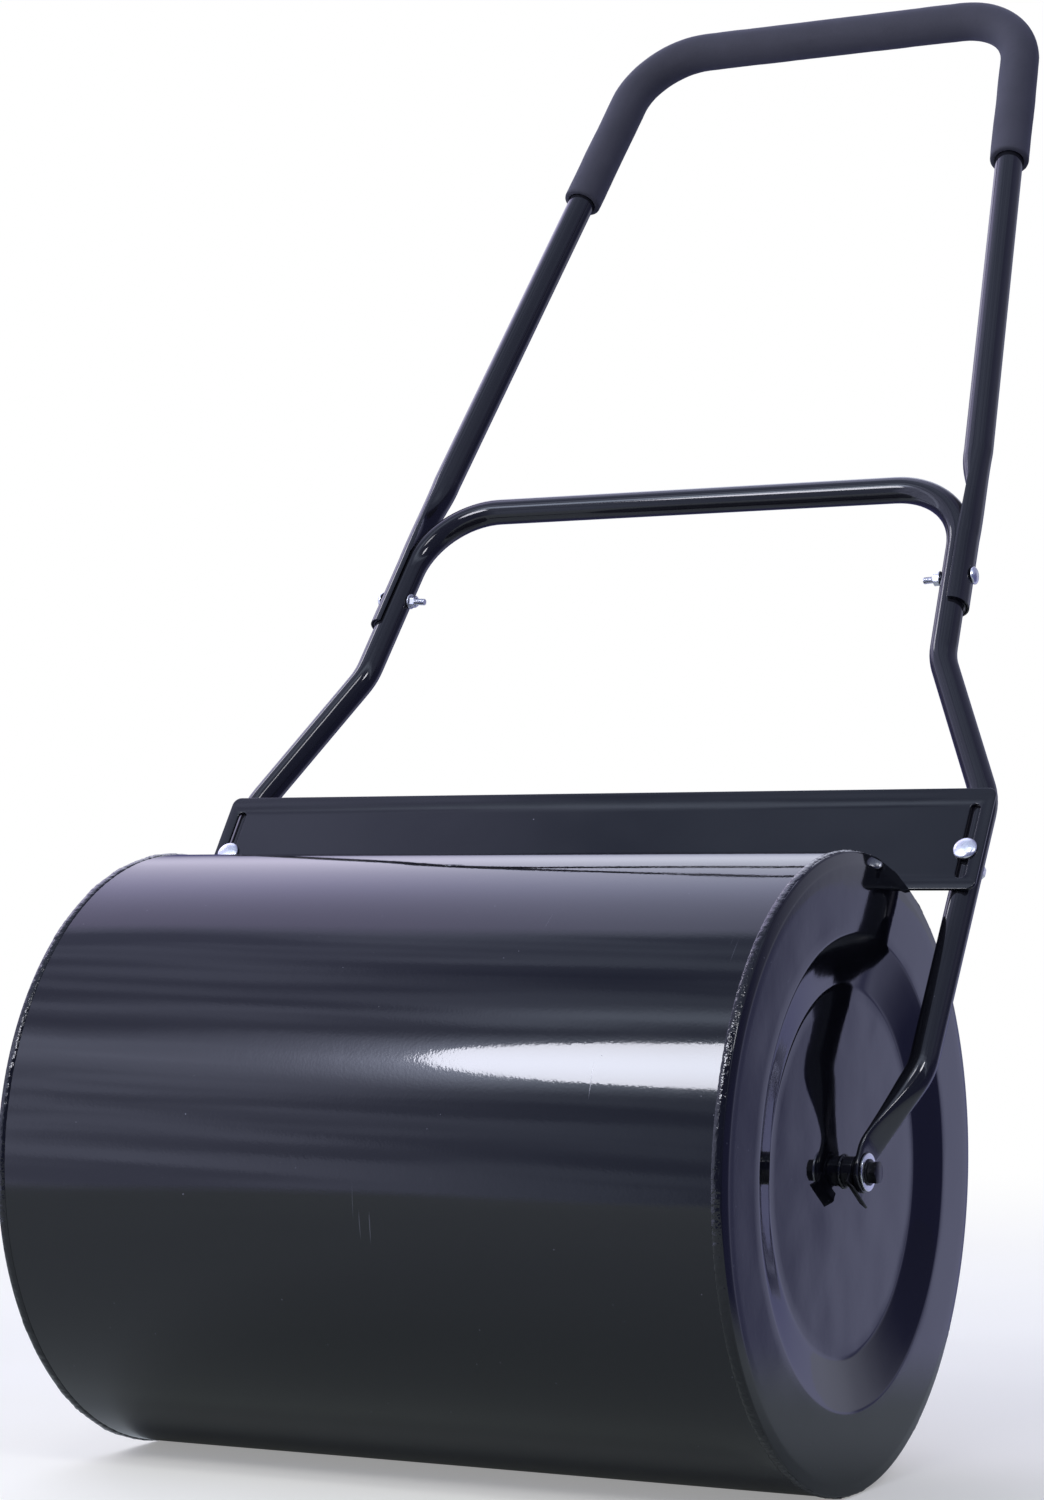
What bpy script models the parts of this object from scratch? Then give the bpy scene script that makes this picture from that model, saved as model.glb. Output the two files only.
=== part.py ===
"""Lawn roller: a hollow steel drum that turns in a push frame with a scraper and a foam grip.

The world origin is on the ground, under the middle of the drum. +X runs along the axle, +Y
towards the person who pushes, +Z up. Lengths are in metres. The push frame is flat, and lies in
a plane through the axle that leans back by FRAME_TILT. In that plane, x is the distance from
the roller's middle and s is the distance from the axle, so frame parts are modelled upright,
with s along their own Z, and hang on one tilted empty.
"""

import math

import bmesh
import bpy
from mathutils import Matrix, Vector

MM = 0.001
GAP = 0.3 * MM  # between solids that touch
SIDES = {"left": -1, "right": 1}

# Drum: rolled shell and two pressed ends.
DRUM_RADIUS = 200 * MM
DRUM_HALF_WIDTH = 255 * MM
DRUM_FACETS = 48
SHEET = 1.2 * MM
RIM_RADIUS = 11 * MM  # rounding between tread and end face
RIM_STEPS = 4
LAP = 14 * MM  # how far each end's collar reaches inside the shell
DISH_OUTER = 148 * MM  # radius where the end face starts to dip
DISH_INNER = 115.5 * MM  # radius where the sunken disc starts
DISH_DEPTH = 8 * MM
AXLE_HEIGHT = DRUM_RADIUS

# Axle, from the drum's middle outwards along x.
STUB_RADIUS = 9.5 * MM
STUB_FLANGE_RADIUS = 30 * MM
STUB_FLANGE = 3 * MM
STUB_END = 255.3 * MM
STUB_INNER_END = 226 * MM
TAB_WASHER = 1.4 * MM
TAB_WASHER_RADIUS = 10.5 * MM
TAB_FOLD = 14.4 * MM  # distance from the axle to the tab's fold
TAB_LEAN = math.radians(56)
TAB_FOOT = 7.6 * MM
TAB_WIDTH = 26.4 * MM
LUG = 4.4 * MM
LUG_HALF_WIDTH = 13.2 * MM
BUSH_RADIUS = 6 * MM
AXLE_BOLT_RADIUS = 4 * MM
AXLE_BOLT_LENGTH = 28 * MM
AXLE_BOLT_FLATS = 13 * MM
AXLE_BOLT_HEAD = 6.4 * MM
AXLE_FLANGE_RADIUS = 8.3 * MM  # collar under the bolt's head
AXLE_FLANGE = 1.2 * MM
AXLE_WASHER_RADIUS = 12 * MM
AXLE_WASHER = 1.6 * MM
LUG_X = STUB_END + GAP + TAB_WASHER + GAP + LUG / 2  # middle of the lug's thickness

# Push frame.
FRAME_TILT = math.radians(33.8)
LOWER_TUBE_RADIUS = 9.5 * MM
UPPER_TUBE_RADIUS = 10.4 * MM
TUBE_WALL = 1.3 * MM
SADDLE_WALL = 1.2 * MM  # wall of the upper tube
LOWER_TUBE_SIDES = 16
UPPER_TUBE_SIDES = 20
CAVITY_SIDES = 10
ARM_X = 282.5 * MM  # the arms pass outside the drum
LUG_KINK_S = 15 * MM  # the arm leans out from its lug here
ARM_KINK_S = 75 * MM  # and straightens here
KNEE_S = 282 * MM  # where the arms turn in, above the scraper
NECK_S = 400.4 * MM  # where they straighten again
NECK_X = 227.4 * MM
NECK_SLOPE = -0.08  # change in x along s, above the neck
CROSSBAR_S = 553.4 * MM
CROSSBAR_BEND = 60 * MM

# Upper handle: its ends are crushed to a saddle that wraps the lower tube's outer side.
SADDLE_END_S = 445 * MM
SADDLE_TOP_S = 505 * MM
HANDLE_ROUND_S = 585 * MM
HANDLE_ROUND_X = 215.9 * MM
HANDLE_SLOPE = -0.119
HANDLE_TOP_S = 1035 * MM
HANDLE_BEND = 60 * MM
SADDLE_THICKNESS = 3.4 * MM
SADDLE_HALF_ANGLE = math.radians(86)
GRIP_RADIUS = 15.3 * MM
GRIP_START_S = 874.5 * MM

# Scraper, on the arms' drum side.
SCRAPER_HALF_WIDTH = 294.5 * MM
SCRAPER_BOTTOM_S = 203 * MM
SCRAPER_TOP_S = 283 * MM
SCRAPER_SHEET = 2.5 * MM
SCRAPER_CORNER = 6 * MM
SLOT_BOTTOM_S = 212 * MM
SLOT_TOP_S = 270 * MM
SLOT_WIDTH = 7 * MM
SCRAPER_BOLT_S = 234 * MM

# Fastener sizes: shank radius, head radius and height, washer radius and thickness, nut
# across flats and height.
M6 = {"shank": 3 * MM, "head": 8.2 * MM, "dome": 3.4 * MM, "washer": 6 * MM, "disc": 1.2 * MM,
      "flats": 10 * MM, "nut": 5 * MM, "tail": 3.5 * MM}
M5 = {"shank": 2.5 * MM, "head": 6.3 * MM, "dome": 3.4 * MM, "washer": 5.6 * MM, "disc": 1 * MM,
      "flats": 8 * MM, "nut": 4 * MM, "tail": 7.5 * MM}
HANDLE_BOLT_S = 471 * MM
BOLT_HOLE_GAP = 0.35 * MM

# Filling point, in the left end.
FILL_RADIUS = 167.5 * MM  # distance from the axle
FILL_ANGLE = math.radians(-11)  # from the top, towards +Y
BUNG_BORE = 12.3 * MM
BUNG_OUTER = 15.7 * MM
BUNG_FLANGE_RADIUS = 17.4 * MM
BUNG_PROUD = 1.5 * MM
BUNG_DEPTH = 12 * MM  # below the end face
PLUG_DEPTH = 11 * MM
PLUG_WALL = 2.6 * MM
GASKET = 1.5 * MM
PLUG_HEAD_RADIUS = 17 * MM
PLUG_HEAD = 6 * MM
PLUG_GRIP = 4.5 * MM


def clear_scene():
    for thing in list(bpy.data.objects):
        bpy.data.objects.remove(thing, do_unlink=True)


def collection(name):
    made = bpy.data.collections.new(name)
    bpy.context.scene.collection.children.link(made)
    return made


def material(name, colour, roughness, metallic):
    made = bpy.data.materials.new(name)
    made.use_nodes = True
    shader = made.node_tree.nodes["Principled BSDF"]
    shader.inputs["Base Color"].default_value = (*colour, 1)
    shader.inputs["Roughness"].default_value = roughness
    shader.inputs["Metallic"].default_value = metallic
    return made


clear_scene()
PARTS = collection("lawn_roller")
CUTTERS = collection("cutters")
GLOSS_BLACK = material("gloss_black_paint", (0.018, 0.020, 0.030), 0.12, 0.0)
SATIN_BLACK = material("satin_black_paint", (0.016, 0.017, 0.024), 0.30, 0.0)
DARK_STEEL = material("blackened_steel", (0.020, 0.020, 0.022), 0.45, 0.6)
ZINC = material("zinc_plate", (0.72, 0.73, 0.76), 0.28, 1.0)
FOAM = material("grip_foam", (0.045, 0.047, 0.058), 0.85, 0.0)
BLACK_PLASTIC = material("plug_plastic", (0.020, 0.020, 0.022), 0.50, 0.0)
RUBBER = material("gasket_rubber", (0.015, 0.015, 0.015), 0.80, 0.0)


# Placing -------------------------------------------------------------------------------------


def place(thing, parent, location=(0, 0, 0), rotation=(0, 0, 0)):
    thing.parent = parent
    thing.location = location
    thing.rotation_euler = rotation
    return thing


def empty(name, location, rotation=(0, 0, 0)):
    made = bpy.data.objects.new(name, None)
    PARTS.objects.link(made)
    made.location = location
    made.rotation_euler = rotation
    return made


def mesh_object(name, mesh, paint, cutter=False):
    made = bpy.data.objects.new(name, mesh)
    if cutter:
        CUTTERS.objects.link(made)
        made.hide_render = True
        made.display_type = "WIRE"
        return made
    PARTS.objects.link(made)
    mesh.materials.append(paint)
    mesh.shade_smooth()
    mesh.set_sharp_from_angle(angle=math.radians(32))
    return made


def boolean(thing, other, operation):
    step = thing.modifiers.new(f"{operation.lower()}_{other.name}", "BOOLEAN")
    step.operation = operation
    step.object = other
    step.solver = "EXACT"


# Shapes --------------------------------------------------------------------------------------


def turned(name, profile, paint, facets, closed=False, half_step=False, cutter=False):
    """A body of revolution about its own Z. The profile's (radius, height) points run out
    along the top and down the outer side. With half_step, a flat faces the start direction,
    and the radii are the flats' distances from the axis."""
    turn = math.pi / facets if half_step else 0
    stretch = math.tan(turn)
    points = [(radius, radius * stretch, height) for radius, height in profile]
    edges = [(i, i + 1) for i in range(len(points) - 1)]
    if closed:
        edges.append((len(points) - 1, 0))
    mesh = bpy.data.meshes.new(name)
    mesh.from_pydata(points, edges, [])
    made = mesh_object(name, mesh, paint, cutter)
    screw = made.modifiers.new("turn", "SCREW")
    screw.axis = "Z"
    screw.steps = facets
    screw.render_steps = facets
    screw.use_merge_vertices = True
    screw.merge_threshold = 0.00001
    screw.use_smooth_shade = True
    return made


def ring(name, inner, outer, bottom, top, paint, facets=24):
    profile = [(outer, top), (outer, bottom), (inner, bottom), (inner, top)]
    return turned(name, profile, paint, facets, closed=True)


def rod(name, radius, bottom, top, facets=16):
    """A plain cylinder that another shape is cut or joined with."""
    profile = [(0, top), (radius, top), (radius, bottom), (0, bottom)]
    return turned(name, profile, None, facets, cutter=True)


def hex_prism(name, across_flats, bottom, top, paint):
    build = bmesh.new()
    corner = across_flats / 2 / math.cos(math.pi / 6)
    middle = Matrix.Translation((0, 0, (bottom + top) / 2))
    bmesh.ops.create_cone(build, cap_ends=True, segments=6, radius1=corner, radius2=corner,
                          depth=top - bottom, matrix=middle)
    mesh = bpy.data.meshes.new(name)
    build.to_mesh(mesh)
    build.free()
    return mesh_object(name, mesh, paint)


def block(name, size, location, rotation=None):
    """A box that another shape is joined with."""
    build = bmesh.new()
    turn = rotation or Matrix.Identity(4)
    bmesh.ops.create_cube(build, size=1, matrix=Matrix.Translation(location) @ turn
                          @ Matrix.Diagonal((*size, 1)))
    mesh = bpy.data.meshes.new(name)
    build.to_mesh(mesh)
    build.free()
    return mesh_object(name, mesh, None, cutter=True)


# Bent tubes ----------------------------------------------------------------------------------


def bent_path(start_point, corners, end_point):
    """Centreline points from start to end, with each (x, s, bend radius, steps) corner between
    them as an arc."""
    points = [Vector(start_point)]
    spots = [start_point] + [corner[:2] for corner in corners] + [end_point]
    for before, (x, s, radius, steps), after in zip(spots, corners, spots[2:]):
        corner = Vector((x, s))
        back = (Vector(before) - corner).normalized()
        on = (Vector(after) - corner).normalized()
        half = back.angle(on) / 2
        inward = (back + on).normalized()
        centre = corner + inward * radius / math.sin(half)
        start = corner + back * radius / math.tan(half) - centre
        end = corner + on * radius / math.tan(half) - centre
        sweep = start.angle_signed(end)
        for i in range(steps + 1):
            points.append(centre + Matrix.Rotation(-sweep * i / steps, 2) @ start)
    return points + [Vector(end_point)]


def insert_points(points, heights):
    """The same path with points added at the given s, on its first rising run."""
    merged = list(points)
    for s in heights:
        for i, (low, high) in enumerate(zip(merged, merged[1:])):
            if low.y + 0.5 * MM < s < high.y - 0.5 * MM:
                merged.insert(i + 1, low.lerp(high, (s - low.y) / (high.y - low.y)))
                break
    return merged


def mirrored_path(half):
    """A whole path from its right half, which runs from the right end to the middle bar."""
    return half + [Vector((-p.x, p.y)) for p in reversed(half)]


def lengths_from_end(points):
    """Each point's distance along the path from the nearer end."""
    run = [0.0]
    for a, b in zip(points, points[1:]):
        run.append(run[-1] + (b - a).length)
    return [min(length, run[-1] - length) for length in run]


def loft_rings(points, section, sides):
    """One ring of vertices for each path point. section(distance from the end, angle) gives
    a point's offset outwards in the frame's plane, and across it."""
    rings = []
    distances = lengths_from_end(points)
    for i, (point, distance) in enumerate(zip(points, distances)):
        before = points[max(i - 1, 0)]
        after = points[min(i + 1, len(points) - 1)]
        along = ((point - before).normalized() + (after - point).normalized()).normalized()
        outward = Vector((along.y, -along.x))
        row = []
        for k in range(sides):
            out, across = section(distance, 2 * math.pi * k / sides)
            spot = point + outward * out
            row.append((spot.x, across, spot.y))
        rings.append(row)
    return rings


def skin(rings, flip=False):
    """Quads between successive rings, as vertex indices."""
    count = len(rings[0])
    faces = []
    for i in range(len(rings) - 1):
        for k in range(count):
            nxt = (k + 1) % count
            quad = (i * count + k, i * count + nxt, (i + 1) * count + nxt, (i + 1) * count + k)
            faces.append(quad[::-1] if flip else quad)
    return faces


def finish_mesh(name, vertices, faces, paint, cutter=False):
    mesh = bpy.data.meshes.new(name)
    mesh.from_pydata(vertices, [], faces)
    build = bmesh.new()
    build.from_mesh(mesh)
    bmesh.ops.recalc_face_normals(build, faces=build.faces)
    build.to_mesh(mesh)
    build.free()
    return mesh_object(name, mesh, paint, cutter)


def solid_loft(name, points, section, sides, paint, cutter=False):
    rings = loft_rings(points, section, sides)
    vertices = [v for row in rings for v in row]
    faces = skin(rings)
    last = len(vertices) - sides
    faces.append(tuple(reversed(range(sides))))
    faces.append(tuple(range(last, len(vertices))))
    return finish_mesh(name, vertices, faces, paint, cutter)


def hollow_loft(name, points, outside, inside, sides, paint):
    """A tube that is open at both ends."""
    outer = loft_rings(points, outside, sides)
    inner = loft_rings(points, inside, sides)
    vertices = [v for row in outer + inner for v in row]
    half = len(vertices) // 2
    faces = skin(outer)
    faces += [tuple(i + half for i in face) for face in skin(inner, flip=True)]
    for start in (0, half - sides):
        for k in range(sides):
            nxt = (k + 1) % sides
            faces.append((start + nxt, start + k, start + k + half, start + nxt + half))
    return finish_mesh(name, vertices, faces, paint)


def ease(value, low, high):
    """0 below low, 1 above high, smooth between."""
    t = min(max((value - low) / (high - low), 0), 1)
    return t * t * (3 - 2 * t)


def squared(value, power):
    return math.copysign(abs(value) ** power, value)


# Drum ----------------------------------------------------------------------------------------

SEAM_X = DRUM_HALF_WIDTH - RIM_RADIUS


def drum_shell(parent):
    reach = SEAM_X - GAP
    profile = [(DRUM_RADIUS, reach), (DRUM_RADIUS, -reach),
               (DRUM_RADIUS - SHEET, -reach), (DRUM_RADIUS - SHEET, reach)]
    shell = turned("drum_shell", profile, GLOSS_BLACK, DRUM_FACETS, closed=True, half_step=True)
    place(shell, parent, rotation=(0, math.pi / 2, 0))


def end_face(inset):
    """The pressed end's (radius, height) points from the axle hole out to the rim's round."""
    disc = DRUM_HALF_WIDTH - DISH_DEPTH - inset
    face = DRUM_HALF_WIDTH - inset
    return [(STUB_RADIUS + GAP, disc), (DISH_INNER, disc), (DISH_OUTER, face)]


def drum_end(name, side, parent):
    centre = (DRUM_RADIUS - RIM_RADIUS, DRUM_HALF_WIDTH - RIM_RADIUS)

    def rim(radius):
        angles = [math.pi / 2 * (1 - i / RIM_STEPS) for i in range(RIM_STEPS + 1)]
        return [(centre[0] + radius * math.cos(a), centre[1] + radius * math.sin(a))
                for a in angles]

    collar = DRUM_RADIUS - SHEET - GAP
    profile = end_face(0) + rim(RIM_RADIUS)
    profile += [(collar, SEAM_X), (collar, SEAM_X - LAP), (collar - SHEET, SEAM_X - LAP)]
    inner_rim = [point for point in rim(RIM_RADIUS - SHEET) if point[0] < collar - SHEET]
    profile += [(collar - SHEET, SEAM_X)] + inner_rim[::-1] + end_face(SHEET)[::-1]
    cap = turned(name, profile, GLOSS_BLACK, DRUM_FACETS, closed=True, half_step=True)
    place(cap, parent, rotation=(0, side * math.pi / 2, 0))
    return cap


def stub_axle(name, side, parent):
    disc_inside = DRUM_HALF_WIDTH - DISH_DEPTH - SHEET
    bore = AXLE_BOLT_RADIUS + BOLT_HOLE_GAP
    bore_bottom = STUB_END - AXLE_BOLT_LENGTH + 4 * MM
    flange_top = disc_inside - GAP
    profile = [(0, bore_bottom), (bore, bore_bottom), (bore, STUB_END),
               (STUB_RADIUS, STUB_END), (STUB_RADIUS, flange_top),
               (STUB_FLANGE_RADIUS, flange_top), (STUB_FLANGE_RADIUS, flange_top - STUB_FLANGE),
               (STUB_RADIUS, flange_top - STUB_FLANGE), (STUB_RADIUS, STUB_INNER_END),
               (0, STUB_INNER_END)]
    stub = turned(name, profile, SATIN_BLACK, 24)
    place(stub, parent, rotation=(0, side * math.pi / 2, 0))


def axle_fixings(label, side, parent):
    """What is clamped to the stub and turns with the drum: bush, washer and bolt."""
    turn = (0, side * math.pi / 2, 0)
    bush_start = STUB_END + GAP
    washer_start = LUG_X + LUG / 2 + GAP
    head_start = washer_start + AXLE_WASHER + GAP
    bolt_gap = AXLE_BOLT_RADIUS + BOLT_HOLE_GAP
    bush = ring(f"pivot_bush_{label}", bolt_gap, BUSH_RADIUS, bush_start, washer_start - GAP, ZINC)
    place(bush, parent, rotation=turn)
    washer = ring(f"axle_washer_{label}", bolt_gap, AXLE_WASHER_RADIUS, washer_start,
                  washer_start + AXLE_WASHER, ZINC, facets=28)
    place(washer, parent, rotation=turn)
    bolt = hex_prism(f"axle_bolt_{label}", AXLE_BOLT_FLATS, head_start + AXLE_FLANGE / 2,
                     head_start + AXLE_BOLT_HEAD, DARK_STEEL)
    collar = rod(f"axle_collar_{label}", AXLE_FLANGE_RADIUS, head_start,
                 head_start + AXLE_FLANGE, facets=24)
    shank = rod(f"axle_shank_{label}", AXLE_BOLT_RADIUS, head_start - AXLE_BOLT_LENGTH,
                head_start + AXLE_BOLT_HEAD / 2)
    place(bolt, parent, rotation=turn)
    for joined in (collar, shank):
        place(joined, bolt)
        boolean(bolt, joined, "UNION")


def filling_point(cap):
    """Bung welded in the left end, with its screwed plug and gasket."""
    across = FILL_RADIUS * math.sin(FILL_ANGLE)
    up = FILL_RADIUS * math.cos(FILL_ANGLE)
    axis = empty("fill_axis", (-DRUM_HALF_WIDTH, across, AXLE_HEIGHT + up), (0, -math.pi / 2, 0))
    hole = rod("fill_hole", BUNG_OUTER + GAP, -10 * MM, 10 * MM, facets=24)
    place(hole, axis)
    boolean(cap, hole, "DIFFERENCE")

    flange_top = -SHEET - GAP
    flange_bottom = flange_top - SHEET
    profile = [(BUNG_OUTER, BUNG_PROUD), (BUNG_OUTER, flange_top), (BUNG_FLANGE_RADIUS, flange_top),
               (BUNG_FLANGE_RADIUS, flange_bottom), (BUNG_OUTER, flange_bottom),
               (BUNG_OUTER, -BUNG_DEPTH), (BUNG_BORE, -BUNG_DEPTH), (BUNG_BORE, BUNG_PROUD)]
    place(turned("fill_bung", profile, SATIN_BLACK, 24, closed=True), axis)

    gasket_bottom = BUNG_PROUD + GAP
    gasket_top = gasket_bottom + GASKET
    place(ring("plug_gasket", BUNG_BORE, BUNG_OUTER, gasket_bottom, gasket_top, RUBBER), axis)

    head_bottom = gasket_top + GAP
    head_top = head_bottom + PLUG_HEAD
    shank = BUNG_BORE - GAP
    profile = [(0, head_top), (PLUG_HEAD_RADIUS - MM, head_top), (PLUG_HEAD_RADIUS, head_top - MM),
               (PLUG_HEAD_RADIUS, head_bottom), (shank, head_bottom), (shank, -PLUG_DEPTH),
               (shank - PLUG_WALL, -PLUG_DEPTH), (shank - PLUG_WALL, BUNG_PROUD), (0, BUNG_PROUD)]
    plug = turned("fill_plug", profile, BLACK_PLASTIC, 24)
    place(plug, axis)
    bar = block("plug_bar", (28 * MM, 6 * MM, 2 * PLUG_GRIP), (0, 0, head_top))
    place(bar, plug)
    boolean(plug, bar, "UNION")


def build_drum():
    axle = empty("drum_axle", (0, 0, AXLE_HEIGHT))
    drum_shell(axle)
    caps = {}
    for label, side in SIDES.items():
        caps[label] = drum_end(f"drum_end_{label}", side, axle)
        stub_axle(f"stub_axle_{label}", side, axle)
        axle_fixings(label, side, axle)
    filling_point(caps["left"])


# Push frame ----------------------------------------------------------------------------------


def neck_x(s):
    """x of the lower tube's centreline above the neck."""
    return NECK_X + NECK_SLOPE * (s - NECK_S)


def lug_section(distance, angle):
    """Lower tube: a flat lug with a round end, opening to a full round tube."""
    opening = ease(distance, 32 * MM, 84 * MM)
    end_radius = LUG_HALF_WIDTH
    short = max(end_radius - distance, 0)
    lug_half = math.sqrt(max(end_radius**2 - short**2, (2 * MM) ** 2))
    half_thickness = LUG / 2 + (LOWER_TUBE_RADIUS - LUG / 2) * opening
    half_width = lug_half + (LOWER_TUBE_RADIUS - lug_half) * ease(distance, 26 * MM, 84 * MM)
    power = 0.45 + 0.55 * opening
    return (half_thickness * squared(math.cos(angle), power),
            half_width * squared(math.sin(angle), power))


def cavity_section(distance, angle):
    """Inside of the lower tube, from where the lug has opened."""
    opening = ease(distance, -20 * MM, 25 * MM)
    radius = LOWER_TUBE_RADIUS - TUBE_WALL
    return (radius * (0.35 + 0.65 * opening) * math.cos(angle), radius * math.sin(angle))


def lower_frame(parent):
    lug_end = -LUG_HALF_WIDTH
    corners = [(LUG_X, LUG_KINK_S, 28 * MM, 4), (ARM_X, ARM_KINK_S, 45 * MM, 4),
               (ARM_X, KNEE_S, 50 * MM, 4), (NECK_X, NECK_S, 50 * MM, 4),
               (neck_x(CROSSBAR_S), CROSSBAR_S, CROSSBAR_BEND, 5)]
    half = bent_path((LUG_X, lug_end), corners, (0, CROSSBAR_S))
    marks = [lug_end + LUG_HALF_WIDTH * part for part in (0.05, 0.2, 0.45, 0.75)]
    marks += [s * MM for s in (30, 40, 50)]
    half = insert_points(half, marks)[:-1]
    frame = solid_loft("lower_frame", mirrored_path(half), lug_section, LOWER_TUBE_SIDES,
                       SATIN_BLACK)
    place(frame, parent)

    cavity_start = 62 * MM
    inner_half = [p for p in half if p.y > cavity_start or p.x < NECK_X]
    cavity = solid_loft("lower_cavity", mirrored_path(inner_half), cavity_section, CAVITY_SIDES,
                        None, cutter=True)
    place(cavity, parent)
    boolean(frame, cavity, "DIFFERENCE")

    for label, side in SIDES.items():
        pivot = rod(f"lug_hole_{label}", BUSH_RADIUS + BOLT_HOLE_GAP, LUG_X - 8 * MM,
                    LUG_X + 8 * MM, facets=24)
        place(pivot, parent, rotation=(0, side * math.pi / 2, 0))
        scraper = rod(f"scraper_hole_{label}", M6["shank"] + BOLT_HOLE_GAP, -20 * MM, 20 * MM,
                      facets=12)
        place(scraper, parent, (side * ARM_X, 0, SCRAPER_BOLT_S), (math.pi / 2, 0, 0))
        for cutter in (pivot, scraper):
            boolean(frame, cutter, "DIFFERENCE")
    return frame


def saddle_point(radius_offset, distance, angle):
    """A crushed-tube point: an arc-shaped pocket around the lower tube, which opens to a round
    tube. radius_offset is 0 on the outside and the wall's thickness on the inside."""
    run = SADDLE_TOP_S - SADDLE_END_S
    opening = ease(distance, run, run + HANDLE_ROUND_S - SADDLE_TOP_S)
    turn = (angle + math.pi) % (2 * math.pi) - math.pi
    wrap = math.pi / 2 - abs(abs(turn) - math.pi / 2)
    tip = radius_offset / (LOWER_TUBE_RADIUS + GAP)
    around = math.copysign(wrap / (math.pi / 2) * (SADDLE_HALF_ANGLE - tip), turn)
    half = SADDLE_THICKNESS / 2 - radius_offset
    middle = LOWER_TUBE_RADIUS + GAP + SADDLE_THICKNESS / 2
    radius = middle + half * squared(math.cos(turn), 0.3)
    crushed = Vector((radius * math.cos(around), radius * math.sin(around)))
    full = UPPER_TUBE_RADIUS - radius_offset
    round_tube = Vector((full * math.cos(turn), full * math.sin(turn)))
    return tuple(crushed.lerp(round_tube, opening))


def handle_x(s):
    """x of the handle's centreline, from where its tube is round up to the top bend."""
    return HANDLE_ROUND_X + HANDLE_SLOPE * (s - HANDLE_ROUND_S)


def upper_handle(parent):
    corners = [(neck_x(SADDLE_TOP_S), SADDLE_TOP_S, 40 * MM, 1),
               (HANDLE_ROUND_X, HANDLE_ROUND_S, 40 * MM, 1),
               (handle_x(HANDLE_TOP_S), HANDLE_TOP_S, HANDLE_BEND, 6)]
    half = bent_path((neck_x(SADDLE_END_S), SADDLE_END_S), corners, (0, HANDLE_TOP_S))[:-1]
    half = insert_points(half, [s * MM for s in (480, 520, 532, 545, 558, 571)])
    handle = hollow_loft("upper_handle", mirrored_path(half),
                         lambda distance, angle: saddle_point(0, distance, angle),
                         lambda distance, angle: saddle_point(SADDLE_WALL, distance, angle),
                         UPPER_TUBE_SIDES, SATIN_BLACK)
    return place(handle, parent)


def foam_grip(parent):
    """Foam sleeve along the handle's own line, over the top bar and both bends."""
    bend = (handle_x(HANDLE_TOP_S), HANDLE_TOP_S, HANDLE_BEND, 6)
    half = bent_path((handle_x(GRIP_START_S), GRIP_START_S), [bend], (0, HANDLE_TOP_S))[:-1]
    points = mirrored_path(half)
    curve = bpy.data.curves.new("grip_line", "CURVE")
    curve.dimensions = "3D"
    curve.bevel_depth = GRIP_RADIUS
    curve.bevel_resolution = 6
    curve.use_fill_caps = False
    line = curve.splines.new("POLY")
    line.points.add(len(points) - 1)
    for spot, point in zip(line.points, points):
        spot.co = (point.x, 0, point.y, 1)
    guide = bpy.data.objects.new("grip_line", curve)
    CUTTERS.objects.link(guide)
    bpy.context.view_layer.update()
    seen = guide.evaluated_get(bpy.context.evaluated_depsgraph_get())
    mesh = bpy.data.meshes.new_from_object(seen)
    bpy.data.objects.remove(guide)
    build = bmesh.new()
    build.from_mesh(mesh)
    bmesh.ops.recalc_face_normals(build, faces=build.faces)
    build.to_mesh(mesh)
    build.free()
    mesh.materials.clear()
    grip = mesh_object("foam_grip", mesh, FOAM)
    thick = grip.modifiers.new("foam_thickness", "SOLIDIFY")
    thick.thickness = GRIP_RADIUS - UPPER_TUBE_RADIUS - 2 * GAP
    thick.offset = -1
    return place(grip, parent)


def tab_washer(label, side, parent):
    """Spacer between stub and lug, with a wide tab bent out below the lug's round end."""
    start = STUB_END + GAP
    washer = ring(f"tab_washer_{label}", BUSH_RADIUS + BOLT_HOLE_GAP, TAB_WASHER_RADIUS, start,
                  start + TAB_WASHER, DARK_STEEL)
    place(washer, parent, rotation=(0, side * math.pi / 2, 0))
    # The tab is made along the washer's own x axis, and turned to point away from the arm.
    middle = start + TAB_WASHER / 2
    root = TAB_WASHER_RADIUS - 2 * MM
    straight = block(f"tab_straight_{label}", (TAB_FOLD - root, TAB_WIDTH, TAB_WASHER),
                     ((root + TAB_FOLD) / 2, 0, middle))
    reach = TAB_FOOT / 2 - 0.6 * MM
    foot = (TAB_FOLD + reach * math.cos(TAB_LEAN), 0, middle + reach * math.sin(TAB_LEAN))
    bent = block(f"tab_bent_{label}", (TAB_FOOT, TAB_WIDTH, TAB_WASHER), foot,
                 rotation=Matrix.Rotation(-TAB_LEAN, 4, "Y"))
    turn = 0 if side > 0 else math.pi
    for piece in (straight, bent):
        place(piece, washer, rotation=(0, 0, turn))
        boolean(washer, piece, "UNION")


# Fasteners -----------------------------------------------------------------------------------


def domed_bolt(name, size, reach, paint):
    """A domed head on z = 0 with its shank down to z = -reach."""
    dome = [(size["head"] * math.sin(a), size["dome"] * math.cos(a))
            for a in (math.pi / 2 * i / 4 for i in range(5))]
    profile = dome + [(size["shank"], 0), (size["shank"], -reach), (0, -reach)]
    return turned(name, profile, paint, 16)


def nut(name, size, bottom, paint):
    body = hex_prism(name, size["flats"], bottom, bottom + size["nut"], paint)
    bore = rod(f"{name}_bore", size["shank"] + BOLT_HOLE_GAP, bottom - MM,
               bottom + size["nut"] + MM, facets=12)
    place(bore, body)
    boolean(body, bore, "DIFFERENCE")
    return body


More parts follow.
